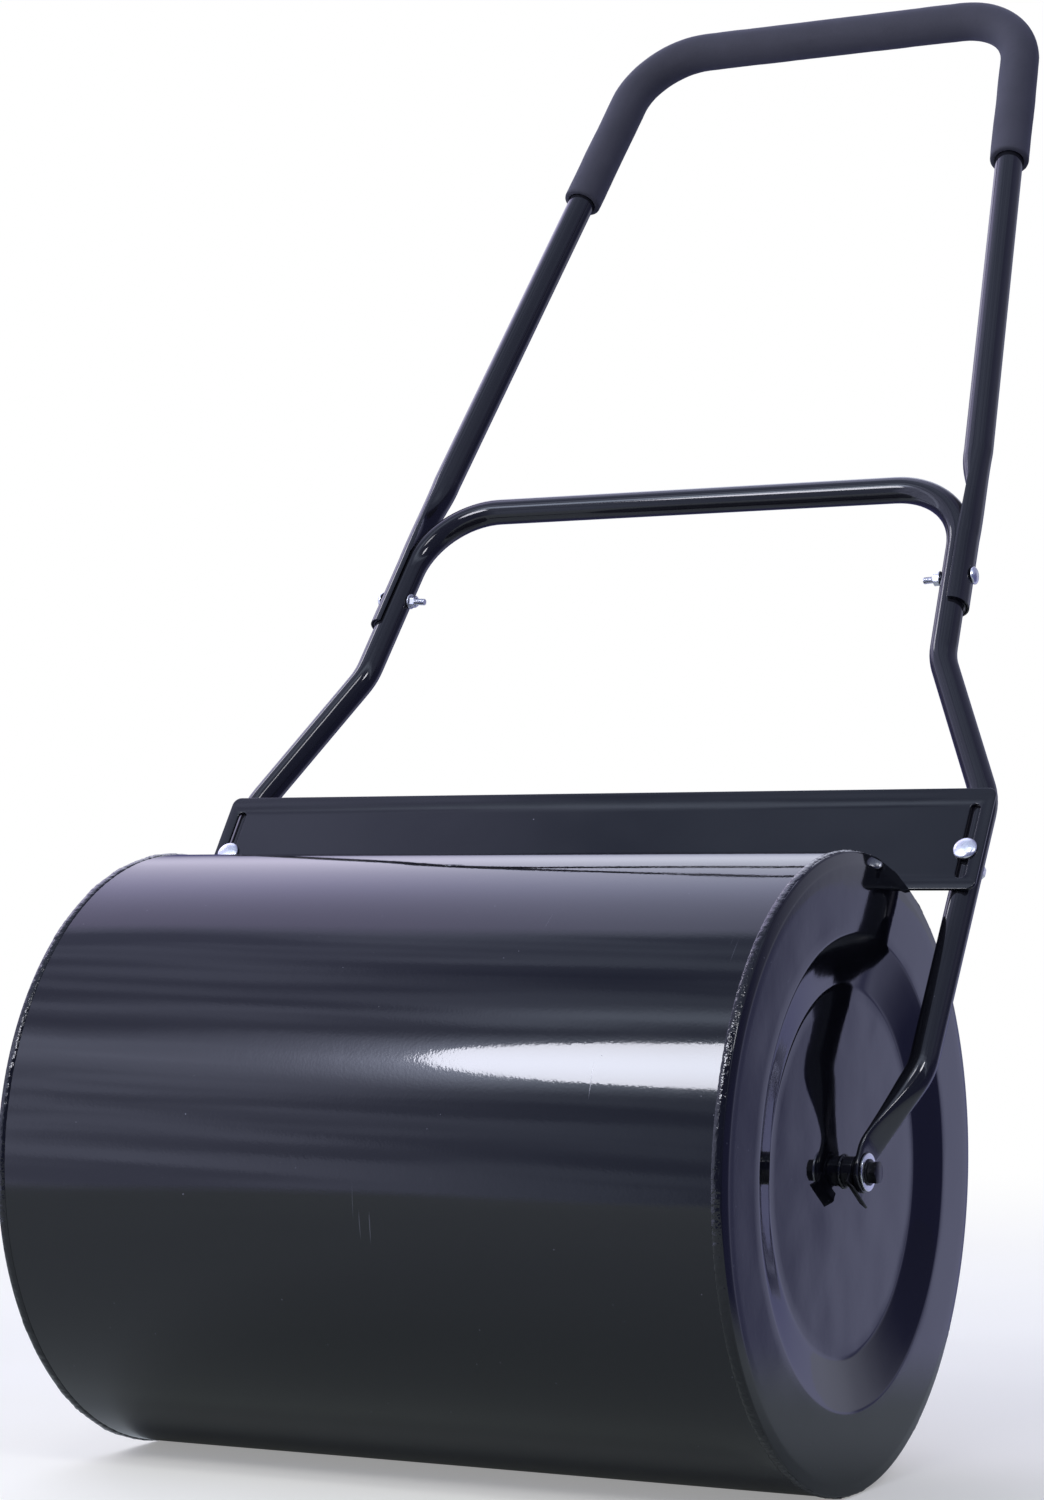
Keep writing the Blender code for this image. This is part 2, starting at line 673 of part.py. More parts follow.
def washer_and_nut(prefix, label, size, seat, spot, turn, parent):
    """The washer sits at height seat above spot, and the nut on it."""
    washer = ring(f"{prefix}_washer_{label}", size["shank"] + BOLT_HOLE_GAP, size["washer"],
                  seat, seat + size["disc"], ZINC, facets=16)
    place(washer, parent, spot, turn)
    place(nut(f"{prefix}_nut_{label}", size, seat + size["disc"] + GAP, ZINC), parent, spot, turn)
    return seat + size["disc"] + GAP + size["nut"] + size["tail"]


def scraper_bolts(parent):
    plate_front = LOWER_TUBE_RADIUS + 2 * GAP + SCRAPER_SHEET
    for label, side in SIDES.items():
        spot = (side * ARM_X, 0, SCRAPER_BOLT_S)
        tail = washer_and_nut("scraper", label, M6, LOWER_TUBE_RADIUS + GAP, spot,
                              (-math.pi / 2, 0, 0), parent)
        bolt = domed_bolt(f"scraper_bolt_{label}", M6, plate_front + tail, ZINC)
        place(bolt, parent, (side * ARM_X, -plate_front, SCRAPER_BOLT_S), (math.pi / 2, 0, 0))


def handle_bolts(parent, frame, handle):
    """Bolts square to the lower tube, head on the saddle and nut inside the frame."""
    lean = math.atan(-NECK_SLOPE)
    head_seat = LOWER_TUBE_RADIUS + 2 * GAP + SADDLE_THICKNESS
    for label, side in SIDES.items():
        spot = Vector((side * neck_x(HANDLE_BOLT_S), 0, HANDLE_BOLT_S))
        outward = (0, side * (math.pi / 2 - lean), 0)
        inward = (0, -side * (math.pi / 2 + lean), 0)
        tail = washer_and_nut("handle", label, M5, LOWER_TUBE_RADIUS + GAP, spot, inward, parent)
        out_way = Vector((side * math.cos(lean), 0, math.sin(lean)))
        bolt = domed_bolt(f"handle_bolt_{label}", M5, head_seat + tail, ZINC)
        place(bolt, parent, spot + out_way * head_seat, outward)
        for thing, kind in ((frame, "frame"), (handle, "saddle")):
            hole = rod(f"{kind}_bolt_hole_{label}", M5["shank"] + BOLT_HOLE_GAP, -20 * MM,
                       20 * MM, facets=12)
            place(hole, parent, spot, outward)
            boolean(thing, hole, "DIFFERENCE")


# Scraper -------------------------------------------------------------------------------------


def rounded_outline(x_low, x_high, y_low, y_high, radius, steps):
    """Corner points, anticlockwise, of a rectangle with round corners."""
    points = []
    corners = ((x_high, y_low, -90), (x_high, y_high, 0), (x_low, y_high, 90), (x_low, y_low, 180))
    for x, y, first in corners:
        cx = x - math.copysign(radius, x - (x_low + x_high) / 2)
        cy = y - math.copysign(radius, y - (y_low + y_high) / 2)
        for i in range(steps + 1):
            a = math.radians(first + 90 * i / steps)
            points.append((cx + radius * math.cos(a), cy + radius * math.sin(a)))
    return points


def scraper_plate(parent):
    """A flat plate whose slots let it slide on its bolts, towards and away from the drum."""
    curve = bpy.data.curves.new("scraper_plate", "CURVE")
    curve.dimensions = "2D"
    curve.fill_mode = "BOTH"
    curve.extrude = SCRAPER_SHEET / 2
    outlines = [rounded_outline(-SCRAPER_HALF_WIDTH, SCRAPER_HALF_WIDTH, SCRAPER_BOTTOM_S,
                                SCRAPER_TOP_S, SCRAPER_CORNER, 4)]
    for side in SIDES.values():
        middle = side * ARM_X
        outlines.append(rounded_outline(middle - SLOT_WIDTH / 2, middle + SLOT_WIDTH / 2,
                                        SLOT_BOTTOM_S, SLOT_TOP_S, SLOT_WIDTH / 2 - 0.1 * MM, 3))
    for outline in outlines:
        spline = curve.splines.new("POLY")
        spline.points.add(len(outline) - 1)
        spline.use_cyclic_u = True
        for spot, (x, y) in zip(spline.points, outline):
            spot.co = (x, y, 0, 1)
    curve.materials.append(SATIN_BLACK)
    plate = bpy.data.objects.new("scraper_plate", curve)
    PARTS.objects.link(plate)
    depth = -(LOWER_TUBE_RADIUS + GAP + SCRAPER_SHEET / 2)
    place(plate, parent, (0, depth, 0), (math.pi / 2, 0, 0))


def build_push_frame():
    plane = empty("frame_plane", (0, 0, AXLE_HEIGHT), (-FRAME_TILT, 0, 0))
    frame = lower_frame(plane)
    handle = upper_handle(plane)
    foam_grip(plane)
    scraper_plate(plane)
    scraper_bolts(plane)
    handle_bolts(plane, frame, handle)
    for label, side in SIDES.items():
        tab_washer(label, side, plane)


build_drum()
build_push_frame()
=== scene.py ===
import math

import bmesh
import bpy
from mathutils import Matrix, Vector, noise


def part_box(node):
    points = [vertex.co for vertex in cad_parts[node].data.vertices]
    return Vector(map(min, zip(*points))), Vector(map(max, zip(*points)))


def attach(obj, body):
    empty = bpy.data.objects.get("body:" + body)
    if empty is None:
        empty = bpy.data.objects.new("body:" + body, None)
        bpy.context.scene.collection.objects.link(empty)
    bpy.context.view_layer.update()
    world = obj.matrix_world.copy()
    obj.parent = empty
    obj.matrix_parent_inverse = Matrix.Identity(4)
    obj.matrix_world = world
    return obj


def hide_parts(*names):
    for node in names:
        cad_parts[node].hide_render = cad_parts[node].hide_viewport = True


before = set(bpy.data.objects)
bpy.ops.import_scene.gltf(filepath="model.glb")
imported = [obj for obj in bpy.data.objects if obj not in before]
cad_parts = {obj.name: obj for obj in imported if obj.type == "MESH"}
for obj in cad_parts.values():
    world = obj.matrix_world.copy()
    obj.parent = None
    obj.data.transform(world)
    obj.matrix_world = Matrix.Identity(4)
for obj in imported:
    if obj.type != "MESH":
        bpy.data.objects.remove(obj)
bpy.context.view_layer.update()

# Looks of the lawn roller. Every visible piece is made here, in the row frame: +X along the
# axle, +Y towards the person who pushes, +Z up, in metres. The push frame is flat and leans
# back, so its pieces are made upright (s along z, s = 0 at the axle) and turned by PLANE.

MM = 0.001
TAU = 2 * math.pi
SIDES = {"left": -1, "right": 1}
SHARP = math.radians(32)  # a mesh edge that bends more than this shows as a corner

# Sizes that the CAD model sets, read from its nodes where a box gives them.
DRUM_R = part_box("drum_shell")[1].y
AXLE_Z = DRUM_R
FACE_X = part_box("drum_end_right")[1].x
DISC_X = FACE_X - 8 * MM
SEAM_X = FACE_X - 4.5 * MM  # where tread and end meet, under the rim weld
SHEET = 1.2 * MM
HUB_HOLE = 9.8 * MM
DISH_INNER = 115.5 * MM  # radius of the sunken disc's edge
DISH_OUTER = 148 * MM  # radius where the end face starts to dip
STUB_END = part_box("stub_axle_right")[1].x
STUB_R = 9.5 * MM
AXLE_BORE = 4.35 * MM  # through stub, bush and washer
PIVOT_BORE = 6.35 * MM  # through lug and tab washer
TAB_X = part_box("tab_washer_right")[0].x
WASHER_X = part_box("axle_washer_right")[0].x
HEAD_X = WASHER_X + 1.9 * MM
LUG_X = 259.5 * MM
LUG_THICK = 4.4 * MM
LUG_HALF = 13.2 * MM
ARM_X = 282.5 * MM
TILT = math.radians(33.8)
PLANE = Matrix.Translation((0, 0, AXLE_Z)) @ Matrix.Rotation(-TILT, 4, "X")
LOW_R = 9.5 * MM
HIGH_R = 10.4 * MM
GRIP_R = 15.3 * MM
NECK = (227.4 * MM, 400.4 * MM)
NECK_SLOPE = 0.08
LEG_SLOPE = 0.119
CROSSBAR_S = 553.4 * MM
SADDLE_S = 445 * MM
SADDLE_TOP_S = 505 * MM
ROUND_S = 585 * MM
ROUND_X = 215.9 * MM
TOP_S = 1035 * MM
GRIP_S = 874.5 * MM
SADDLE_THICK = 3.4 * MM
PLATE = {"x": 294.5 * MM, "low": 203 * MM, "high": 283 * MM, "sheet": 2.5 * MM}
SLOT = {"low": 212 * MM, "high": 270 * MM, "width": 7 * MM}
SCRAPER_BOLT_S = 234 * MM
HANDLE_BOLT_S = 471 * MM
FILL_R = 167.5 * MM
FILL_ANGLE = math.radians(-11)
BUNG_R = 15.7 * MM
BUNG_BORE = 12.3 * MM
GAP = 0.3 * MM  # between pieces that touch


# Camera --------------------------------------------


def make_camera():
    data = bpy.data.cameras.new("camera")
    data.lens = 86.43
    data.sensor_width = 36
    data.clip_end = 50
    camera = bpy.data.objects.new("camera", data)
    bpy.context.scene.collection.objects.link(camera)
    camera.location = (1.11731, -2.08338, 0.37587)
    camera.rotation_euler = (math.radians(92.201), 0, math.radians(27.769))
    bpy.context.scene.camera = camera


# Node helpers --------------------------------------


class Nodes:
    """Adds and links shader nodes in one tree."""

    def __init__(self, tree):
        self.tree = tree

    def add(self, kind, settings=None, **inputs):
        made = self.tree.nodes.new(kind)
        for key, value in (settings or {}).items():
            setattr(made, key, value)
        for key, value in inputs.items():
            self.feed(made.inputs[key.replace("_", " ")], value)
        return made

    def feed(self, socket, value):
        if isinstance(value, bpy.types.NodeSocket):
            self.tree.links.new(value, socket)
        else:
            socket.default_value = value

    def math(self, operation, a, b=0.0, c=0.0, clamp=False):
        made = self.tree.nodes.new("ShaderNodeMath")
        made.operation = operation
        made.use_clamp = clamp
        for socket, value in zip(made.inputs, (a, b, c)):
            self.feed(socket, value)
        return made.outputs[0]

    def times(self, *values):
        out = values[0]
        for value in values[1:]:
            out = self.math("MULTIPLY", out, value)
        return out

    def plus(self, a, b):
        return self.math("ADD", a, b)

    def blended(self, share, a, b):
        """a where share is 0, b where it is 1."""
        rest = self.math("SUBTRACT", 1.0, share)
        return self.plus(self.times(b, share), self.times(a, rest))

    def hill(self, value, centre, reach, height=1.0):
        """A smooth hill of the given height round centre."""
        away = self.math("ABSOLUTE", self.math("SUBTRACT", value, centre))
        return self.ramp(away, 0.0, reach, height, 0.0)

    def ramp(self, value, low, high, out_low=0.0, out_high=1.0, smooth=True):
        made = self.add("ShaderNodeMapRange",
                        {"interpolation_type": "SMOOTHSTEP" if smooth else "LINEAR"})
        for socket, item in zip(made.inputs, (value, low, high, out_low, out_high)):
            self.feed(socket, item)
        return made.outputs[0]

    def mix(self, factor, a, b):
        made = self.add("ShaderNodeMix", {"data_type": "RGBA"})
        self.feed(made.inputs[0], factor)
        self.feed(made.inputs[6], a)
        self.feed(made.inputs[7], b)
        return made.outputs[2]

    def noise(self, vector, scale, detail=2.0, roughness=0.5):
        made = self.add("ShaderNodeTexNoise", Scale=scale, Detail=detail, Roughness=roughness)
        self.feed(made.inputs["Vector"], vector)
        return made.outputs["Fac"]

    def bump(self, height, distance, normal=None):
        made = self.add("ShaderNodeBump", Height=height, Distance=distance, Strength=1.0)
        if normal is not None:
            self.feed(made.inputs["Normal"], normal)
        return made.outputs[0]


def shader(name, roughness=0.4, metallic=0.0, ior=1.5):
    """A new material, its node helper, a function that feeds its shader and its coordinates."""
    material = bpy.data.materials.new(name)
    material.use_nodes = True
    tree = material.node_tree
    principled = tree.nodes["Principled BSDF"]
    principled.inputs["Roughness"].default_value = roughness
    principled.inputs["Metallic"].default_value = metallic
    principled.inputs["IOR"].default_value = ior
    nodes = Nodes(tree)
    coord = nodes.add("ShaderNodeTexCoord").outputs["Object"]

    def feed(socket, value):
        nodes.feed(principled.inputs[socket], value)

    return material, nodes, feed, coord


def rgb(r, g, b):
    return (r, g, b, 1.0)


def specks(nodes, coord, scale, size, share):
    """A mask of small round spots: one in each of some cells."""
    cells = nodes.add("ShaderNodeTexVoronoi", Scale=scale, Vector=coord)
    near = nodes.ramp(cells.outputs["Distance"], size, size * 0.5)
    chosen = nodes.add("ShaderNodeSeparateColor", Color=cells.outputs["Color"]).outputs[0]
    return nodes.times(near, nodes.math("LESS_THAN", chosen, share))


def rolling_scratches(nodes, coord):
    """Fine lines that run round the drum, in patches, as grit leaves on a rolling surface."""
    parts = nodes.add("ShaderNodeSeparateXYZ", Vector=coord)
    height = nodes.math("SUBTRACT", parts.outputs[2], AXLE_Z)
    angle = nodes.math("ARCTAN2", parts.outputs[1], height)
    lines = nodes.add("ShaderNodeCombineXYZ", X=nodes.times(parts.outputs[0], 420.0),
                      Y=nodes.times(angle, 2.2)).outputs[0]
    fine = nodes.noise(lines, 1.0, 1.0)
    thin = nodes.ramp(fine, 0.745, 0.775)
    patches = nodes.ramp(nodes.noise(coord, 9.0, 1.0), 0.60, 0.68)
    return nodes.times(thin, patches)


def gloss_paint(name, peel, scratched, lumps=0.0):
    """Deep black gloss enamel with orange peel, dust and, on the tread, rolling scratches."""
    material, nodes, feed, coord = shader(name, ior=1.5)
    cloud = nodes.noise(coord, 5.0, 4.0)
    colour = nodes.mix(cloud, rgb(0.0028, 0.0029, 0.0040), rgb(0.0052, 0.0054, 0.0076))
    rough = nodes.ramp(nodes.noise(coord, 11.0, 5.0), 0.3, 0.75, 0.03, 0.07)
    dust = specks(nodes, coord, 62.0, 0.032, 0.10)
    fine_dust = specks(nodes, coord, 190.0, 0.06, 0.05)
    pale_dust = specks(nodes, coord, 118.0, 0.055, 0.14)
    marks = nodes.math("MAXIMUM", dust, nodes.times(fine_dust, 0.5))
    marks = nodes.math("MAXIMUM", marks, nodes.times(pale_dust, 0.55))
    if scratched:
        scratches = nodes.times(rolling_scratches(nodes, coord), 0.30)
        marks = nodes.math("MAXIMUM", marks, scratches)
    feed("Base Color", nodes.mix(marks, colour, rgb(0.20, 0.20, 0.23)))
    feed("Roughness", nodes.math("MULTIPLY_ADD", marks, 0.35, rough))
    grain = nodes.noise(coord, 560.0, 1.0)
    normal = nodes.bump(grain, peel)
    if lumps:
        normal = nodes.bump(nodes.noise(coord, 340.0, 2.0, 0.6), lumps, normal)
    feed("Normal", nodes.bump(nodes.noise(coord, 60.0, 2.0), 2.2e-5, normal))
    return material


def satin_paint(name, colour, rough, grain_height, ior=1.5):
    """Powder coat: fine even grain, slightly uneven gloss, a little dust."""
    material, nodes, feed, coord = shader(name, ior=ior)
    cloud = nodes.noise(coord, 14.0, 4.0)
    dark = rgb(*(c * 0.75 for c in colour))
    light = rgb(*(c * 1.25 for c in colour))
    dust = specks(nodes, coord, 120.0, 0.05, 0.06)
    coat = nodes.mix(cloud, dark, light)
    feed("Base Color", nodes.mix(dust, coat, rgb(0.16, 0.16, 0.18)))
    feed("Roughness", nodes.ramp(cloud, 0.3, 0.7, rough * 0.85, rough * 1.2))
    normal = nodes.bump(nodes.noise(coord, 900.0, 2.0), grain_height)
    feed("Normal", nodes.bump(nodes.noise(coord, 70.0, 2.0), 3e-5, normal))
    return material


def plate_paint():
    """The scraper's flatter coat: pressed sheet with faint waves in it."""
    material, nodes, feed, coord = shader("scraper_enamel", ior=1.5)
    cloud = nodes.noise(coord, 7.0, 4.0)
    dust = specks(nodes, coord, 70.0, 0.04, 0.12)
    colour = nodes.mix(cloud, rgb(0.0040, 0.0043, 0.0060), rgb(0.0070, 0.0078, 0.0095))
    feed("Base Color", nodes.mix(dust, colour, rgb(0.20, 0.20, 0.22)))
    feed("Roughness", nodes.ramp(cloud, 0.3, 0.7, 0.10, 0.17))
    normal = nodes.bump(nodes.noise(coord, 650.0, 1.0), 8e-6)
    feed("Normal", nodes.bump(nodes.noise(coord, 9.0, 2.0), 9e-4, normal))
    return material


def foam_rubber():
    """Closed-cell foam: fine pores with painted shade in their pits, soft mottling, a dull sheen.
    """
    material, nodes, feed, coord = shader("foam_sleeve", roughness=0.78, ior=1.4)
    feed("Sheen Weight", 0.18)
    feed("Sheen Roughness", 0.45)
    feed("Sheen Tint", rgb(0.75, 0.75, 0.9))
    mottle = nodes.noise(coord, 45.0, 5.0, 0.65)
    pores = nodes.add("ShaderNodeTexVoronoi", Scale=1150.0, Vector=coord).outputs["Distance"]
    pore_pits_and_shade = nodes.ramp(pores, 0.42, 0.12)
    colour = nodes.mix(mottle, rgb(0.043, 0.042, 0.050), rgb(0.065, 0.063, 0.074))
    # the pore pits are painted darker: painted shade in the hollows
    feed("Base Color", nodes.mix(nodes.times(pore_pits_and_shade, 0.35), colour, rgb(0.008, 0.008, 0.010)))
    normal = nodes.bump(nodes.times(pore_pits_and_shade, -1.0), 6e-5)
    feed("Normal", nodes.bump(mottle, 2.5e-4, normal))
    return material


def zinc(name, tint, rough):
    """Bright zinc plate: fine tumbling marks and a faint blue and straw cast."""
    material, nodes, feed, coord = shader(name, metallic=1.0)
    cast = nodes.noise(coord, 160.0, 2.0)
    light = rgb(*tint)
    warm = rgb(tint[0] * 0.95, tint[1] * 0.92, tint[2] * 0.82)
    marks = nodes.noise(coord, 1400.0, 3.0, 0.7)
    dull = nodes.ramp(marks, 0.55, 0.72)
    plating = nodes.mix(cast, light, warm)
    colour = nodes.mix(nodes.times(dull, 0.5), plating, rgb(0.42, 0.43, 0.45))
    feed("Base Color", colour)
    feed("Roughness", nodes.ramp(marks, 0.3, 0.7, rough * 0.8, rough * 1.4))
    feed("Normal", nodes.bump(marks, 2.5e-5))
    return material


def black_oxide():
    """Oiled black steel of the axle bolts and tab washers, worn paler in spots."""
    material, nodes, feed, coord = shader("black_oxide_steel", metallic=0.55)
    worn = nodes.ramp(nodes.noise(coord, 420.0, 4.0, 0.65), 0.56, 0.74)
    colour = nodes.mix(worn, rgb(0.010, 0.010, 0.012), rgb(0.075, 0.072, 0.075))
    feed("Base Color", colour)
    feed("Roughness", nodes.ramp(worn, 0.0, 1.0, 0.30, 0.48))
    feed("Normal", nodes.bump(nodes.noise(coord, 1300.0, 3.0), 2e-5))
    return material


def moulded(name, colour, rough, grain):
    """Moulded plastic or rubber with a fine spark-eroded grain."""
    material, nodes, feed, coord = shader(name, ior=1.48)
    cloud = nodes.noise(coord, 90.0, 4.0)
    dark = rgb(*(c * 0.8 for c in colour))
    feed("Base Color", nodes.mix(cloud, dark, rgb(*(c * 1.3 for c in colour))))
    feed("Roughness", nodes.ramp(cloud, 0.3, 0.7, rough * 0.9, rough * 1.15))
    feed("Normal", nodes.bump(nodes.noise(coord, 1500.0, 2.0), grain))
    return material


# Outlines ------------------------------------------


def filleted(corners, closed=False, step=math.radians(12)):
    """Points through (a, b, radius) corners, each with a radius drawn as an arc."""
    count = len(corners)
    points = []
    for i, (a, b, radius) in enumerate(corners):
        corner = Vector((a, b))
        if not radius or (not closed and i in (0, count - 1)):
            points.append(corner)
            continue
        back = (Vector(corners[i - 1][:2]) - corner).normalized()
        on = (Vector(corners[(i + 1) % count][:2]) - corner).normalized()
        half = back.angle(on) / 2
        centre = corner + (back + on).normalized() * radius / math.sin(half)
        start = corner + back * radius / math.tan(half) - centre
        end = corner + on * radius / math.tan(half) - centre
        sweep = start.angle_signed(end)
        parts = max(2, math.ceil(abs(sweep) / step))
        for k in range(parts + 1):
            points.append(centre + Matrix.Rotation(-sweep * k / parts, 2) @ start)
    return points


def divided(points, longest):
    """The same line with points added so that no stretch is longer than longest."""
    out = []
    for a, b in zip(points, points[1:]):
        parts = max(1, math.ceil((b - a).length / longest))
        out += [a.lerp(b, k / parts) for k in range(parts)]
    return out + [points[-1]]


def mirrored(half):
    return half + [Vector((-p.x, p.y)) for p in reversed(half)]


# Meshes --------------------------------------------


def piece(name, build, material, sharp=SHARP):
    """A finished object from a bmesh, with smooth faces and sharp corners."""
    bmesh.ops.recalc_face_normals(build, faces=build.faces)
    mesh = bpy.data.meshes.new(name)
    build.to_mesh(mesh)
    build.free()
    made = bpy.data.objects.new(name, mesh)
    bpy.context.scene.collection.objects.link(made)
    mesh.materials.append(material)
    mesh.shade_smooth()
    mesh.set_sharp_from_angle(angle=sharp)
    return made


def grid_faces(build, rows, wrap_rows=False):
    """Quads over rows of vertices. Each row closes on itself, and the rows do if set so."""
    last = len(rows) if wrap_rows else len(rows) - 1
    for i in range(last):
        a, b = rows[i], rows[(i + 1) % len(rows)]
        count = len(a)
        for k in range(count):
            n = (k + 1) % count
            build.faces.new((a[k], a[n], b[n], b[k]))


def revolved(profile, segments, closed=False, shape=None):
    """A bmesh turned about z from (radius, height) points. shape(point) may move each vertex."""
    build = bmesh.new()
    rows = []
    for radius, height in profile:
        if radius < 1e-7:
            rows.append([build.verts.new((0, 0, height))])
            continue
        row = []
        for k in range(segments):
            a = TAU * k / segments
            spot = Vector((radius * math.cos(a), radius * math.sin(a), height))
            row.append(build.verts.new(shape(spot) if shape else spot))
        rows.append(row)
    pairs = list(zip(rows, rows[1:]))
    if closed:
        pairs.append((rows[-1], rows[0]))
    for a, b in pairs:
        for k in range(segments):
            n = (k + 1) % segments
            if len(a) == 1 and len(b) == 1:
                continue
            if len(a) == 1:
                build.faces.new((a[0], b[n], b[k]))
            elif len(b) == 1:
                build.faces.new((a[k], a[n], b[0]))
            else:
                build.faces.new((a[k], a[n], b[n], b[k]))
    return build


def boolean(made, other, operation):
    """Cuts or joins made with other, at once, and removes other."""
    step = made.modifiers.new("boolean", "BOOLEAN")
    step.operation = operation
    step.solver = "EXACT"
    step.object = other
    bpy.context.view_layer.update()
    seen = made.evaluated_get(bpy.context.evaluated_depsgraph_get())
    mesh = bpy.data.meshes.new_from_object(seen)
    made.modifiers.clear()
    made.data = mesh
    bpy.data.objects.remove(other, do_unlink=True)
    mesh.set_sharp_from_angle(angle=SHARP)
    return made


def rod_cutter(radius, low, high, matrix, segments=32):
    build = revolved([(0, high), (radius, high), (radius, low), (0, low)], segments)
    bmesh.ops.transform(build, matrix=matrix, verts=build.verts)
    return piece("cutter", build, PLAIN)


def put(made, matrix):
    made.data.transform(matrix)
    return made


def finish(made, body, slot, *nodes):
    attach(made, body)
    if nodes:
        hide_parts(*nodes)
    return made


def axle_side(side):
    """Turns a shape made along +z so that it points out of the drum's left or right side."""
    return Matrix.Translation((0, 0, AXLE_Z)) @ Matrix.Rotation(side * math.pi / 2, 4, "Y")


# Lofts along the frame's tubes ---------------------


def run_lengths(points):
    run = [0.0]
    for a, b in zip(points, points[1:]):
        run.append(run[-1] + (b - a).length)
    return run


def ring_at(points, i, sides, section, distance):
    """Vertices of the section across the path at point i, in the frame's upright plane."""
    before = points[max(i - 1, 0)]
    after = points[min(i + 1, len(points) - 1)]
    here = points[i]
    along = ((here - before).normalized() + (after - here).normalized()).normalized()
    outward = Vector((along.y, -along.x))
    row = []
    for k in range(sides):
        out, across = section(distance, TAU * k / sides)
        spot = here + outward * out
        row.append(Vector((spot.x, across, spot.y)))
    return row


def loft_rows(points, section, sides):
    run = run_lengths(points)
    return [ring_at(points, i, sides, section, min(run[i], run[-1] - run[i]))
            for i in range(len(points))]


def tube_mesh(points, section, sides, inside=None):
    """A bmesh lofted along the path: solid with closed ends, or hollow where inside is given."""
    build = bmesh.new()
    rows = [[build.verts.new(v) for v in row] for row in loft_rows(points, section, sides)]
    grid_faces(build, rows)
    if inside is None:
        build.faces.new(rows[0])
        build.faces.new(rows[-1])
        return build
    inner = [[build.verts.new(v) for v in row] for row in loft_rows(points, inside, sides)]
    grid_faces(build, inner)
    for a, b in ((rows[0], inner[0]), (rows[-1], inner[-1])):
        grid_faces(build, [a, b])
    return build


def ease(value, low, high):
    t = min(max((value - low) / (high - low), 0), 1)
    return t * t * (3 - 2 * t)


def squared(value, power):
    return math.copysign(abs(value) ** power, value)


def neck_x(s):
    return NECK[0] - NECK_SLOPE * (s - NECK[1])


def handle_x(s):
    return ROUND_X - LEG_SLOPE * (s - ROUND_S)


def lug_section(distance, angle):
    """Lower tube: a crushed lug with a round end and a shallow hollow, opening to full round."""
    opening = ease(distance, 32 * MM, 84 * MM)
    short = max(LUG_HALF - distance, 0)
    lug = math.sqrt(max(LUG_HALF**2 - short**2, 1e-7))
    thick = LUG_THICK / 2 + (LOW_R - LUG_THICK / 2) * opening
    half = lug + (LOW_R - lug) * ease(distance, 26 * MM, 84 * MM)
    power = 0.45 + 0.55 * opening
    hollow = 1 - 0.10 * math.sin(math.pi * opening) * math.cos(angle) ** 4
    out = thick * hollow * squared(math.cos(angle), power)
    return out, half * squared(math.sin(angle), power)


def saddle_section(inset, distance, angle):
    """Upper tube: crushed to an arc-shaped pocket round the lower tube, opening to full round."""
    run = SADDLE_TOP_S - SADDLE_S
    opening = ease(distance, run, run + ROUND_S - SADDLE_TOP_S)
    turn = (angle + math.pi) % TAU - math.pi
    wrap = math.pi / 2 - abs(abs(turn) - math.pi / 2)
    tip = inset / (LOW_R + GAP)
    around = math.copysign(wrap / (math.pi / 2) * (math.radians(86) - tip), turn)
    half = SADDLE_THICK / 2 - inset
    radius = LOW_R + GAP + SADDLE_THICK / 2 + half * squared(math.cos(turn), 0.3)
    crushed = Vector((radius * math.cos(around), radius * math.sin(around)))
    full = HIGH_R - inset
    spot = crushed.lerp(Vector((full * math.cos(turn), full * math.sin(turn))), opening)
    return spot.x, spot.y


# Drum ----------------------------------------------

SKIN_R = DRUM_R - 0.8 * MM  # the tread; the weld beads stand proud of it


def sheet_waves(spot):
    """Rolled sheet is never quite round: long shallow waves, calm at the welded ends."""
    a = math.atan2(spot.y, spot.x)
    calm = 1 - ease(abs(spot.z), SEAM_X - 40 * MM, SEAM_X)
    wave = noise.noise((math.cos(a) * 2.2, math.sin(a) * 2.2, spot.z * 3.2))
    wave += 0.45 * noise.noise((math.cos(a) * 5.5, math.sin(a) * 5.5, spot.z * 6.0 + 7.0))
    pull = 1 + (0.00016 * wave * calm - 0.00008) / SKIN_R * 1.6
    return Vector((spot.x * pull, spot.y * pull, spot.z))


def make_drum_shell():
    reach = SEAM_X - 0.2 * MM
    outer = [Vector((SKIN_R, reach - 2 * reach * k / 48)) for k in range(49)]
    profile = outer + [Vector((SKIN_R - SHEET, -reach)), Vector((SKIN_R - SHEET, reach))]

    def shape(spot):
        return sheet_waves(spot) if spot.xy.length > SKIN_R - 1 * MM else spot

    shell = piece("drum_tread", revolved(profile, 288, closed=True, shape=shape), DRUM_PAINT)
    finish(put(shell, axle_side(1)), "drum", "gloss_black_paint", "drum_shell")


def end_profile():
    """Half section of a pressed end: flat rim ring, sloped step, sunken disc with a hub hole."""
    face, disc = FACE_X, DISC_X
    outer = [(HUB_HOLE, disc, 0), (DISH_INNER, disc, 16 * MM), (DISH_OUTER, face, 11 * MM),
             (SKIN_R - 8 * MM, face, 14 * MM), (SKIN_R, face - 1.2 * MM, 1.6 * MM),
             (SKIN_R, SEAM_X + 0.2 * MM, 0)]
    inner = [(SKIN_R - SHEET, SEAM_X + 0.2 * MM, 0),
             (SKIN_R - 1.2 * SHEET, face - 2.1 * SHEET, 1.6 * MM),
             (DISH_OUTER, face - SHEET, 13 * MM), (DISH_INNER, disc - SHEET, 14 * MM),
             (HUB_HOLE, disc - SHEET, 0)]
    return divided(filleted(outer, step=math.radians(6)), 7 * MM) + filleted(inner)


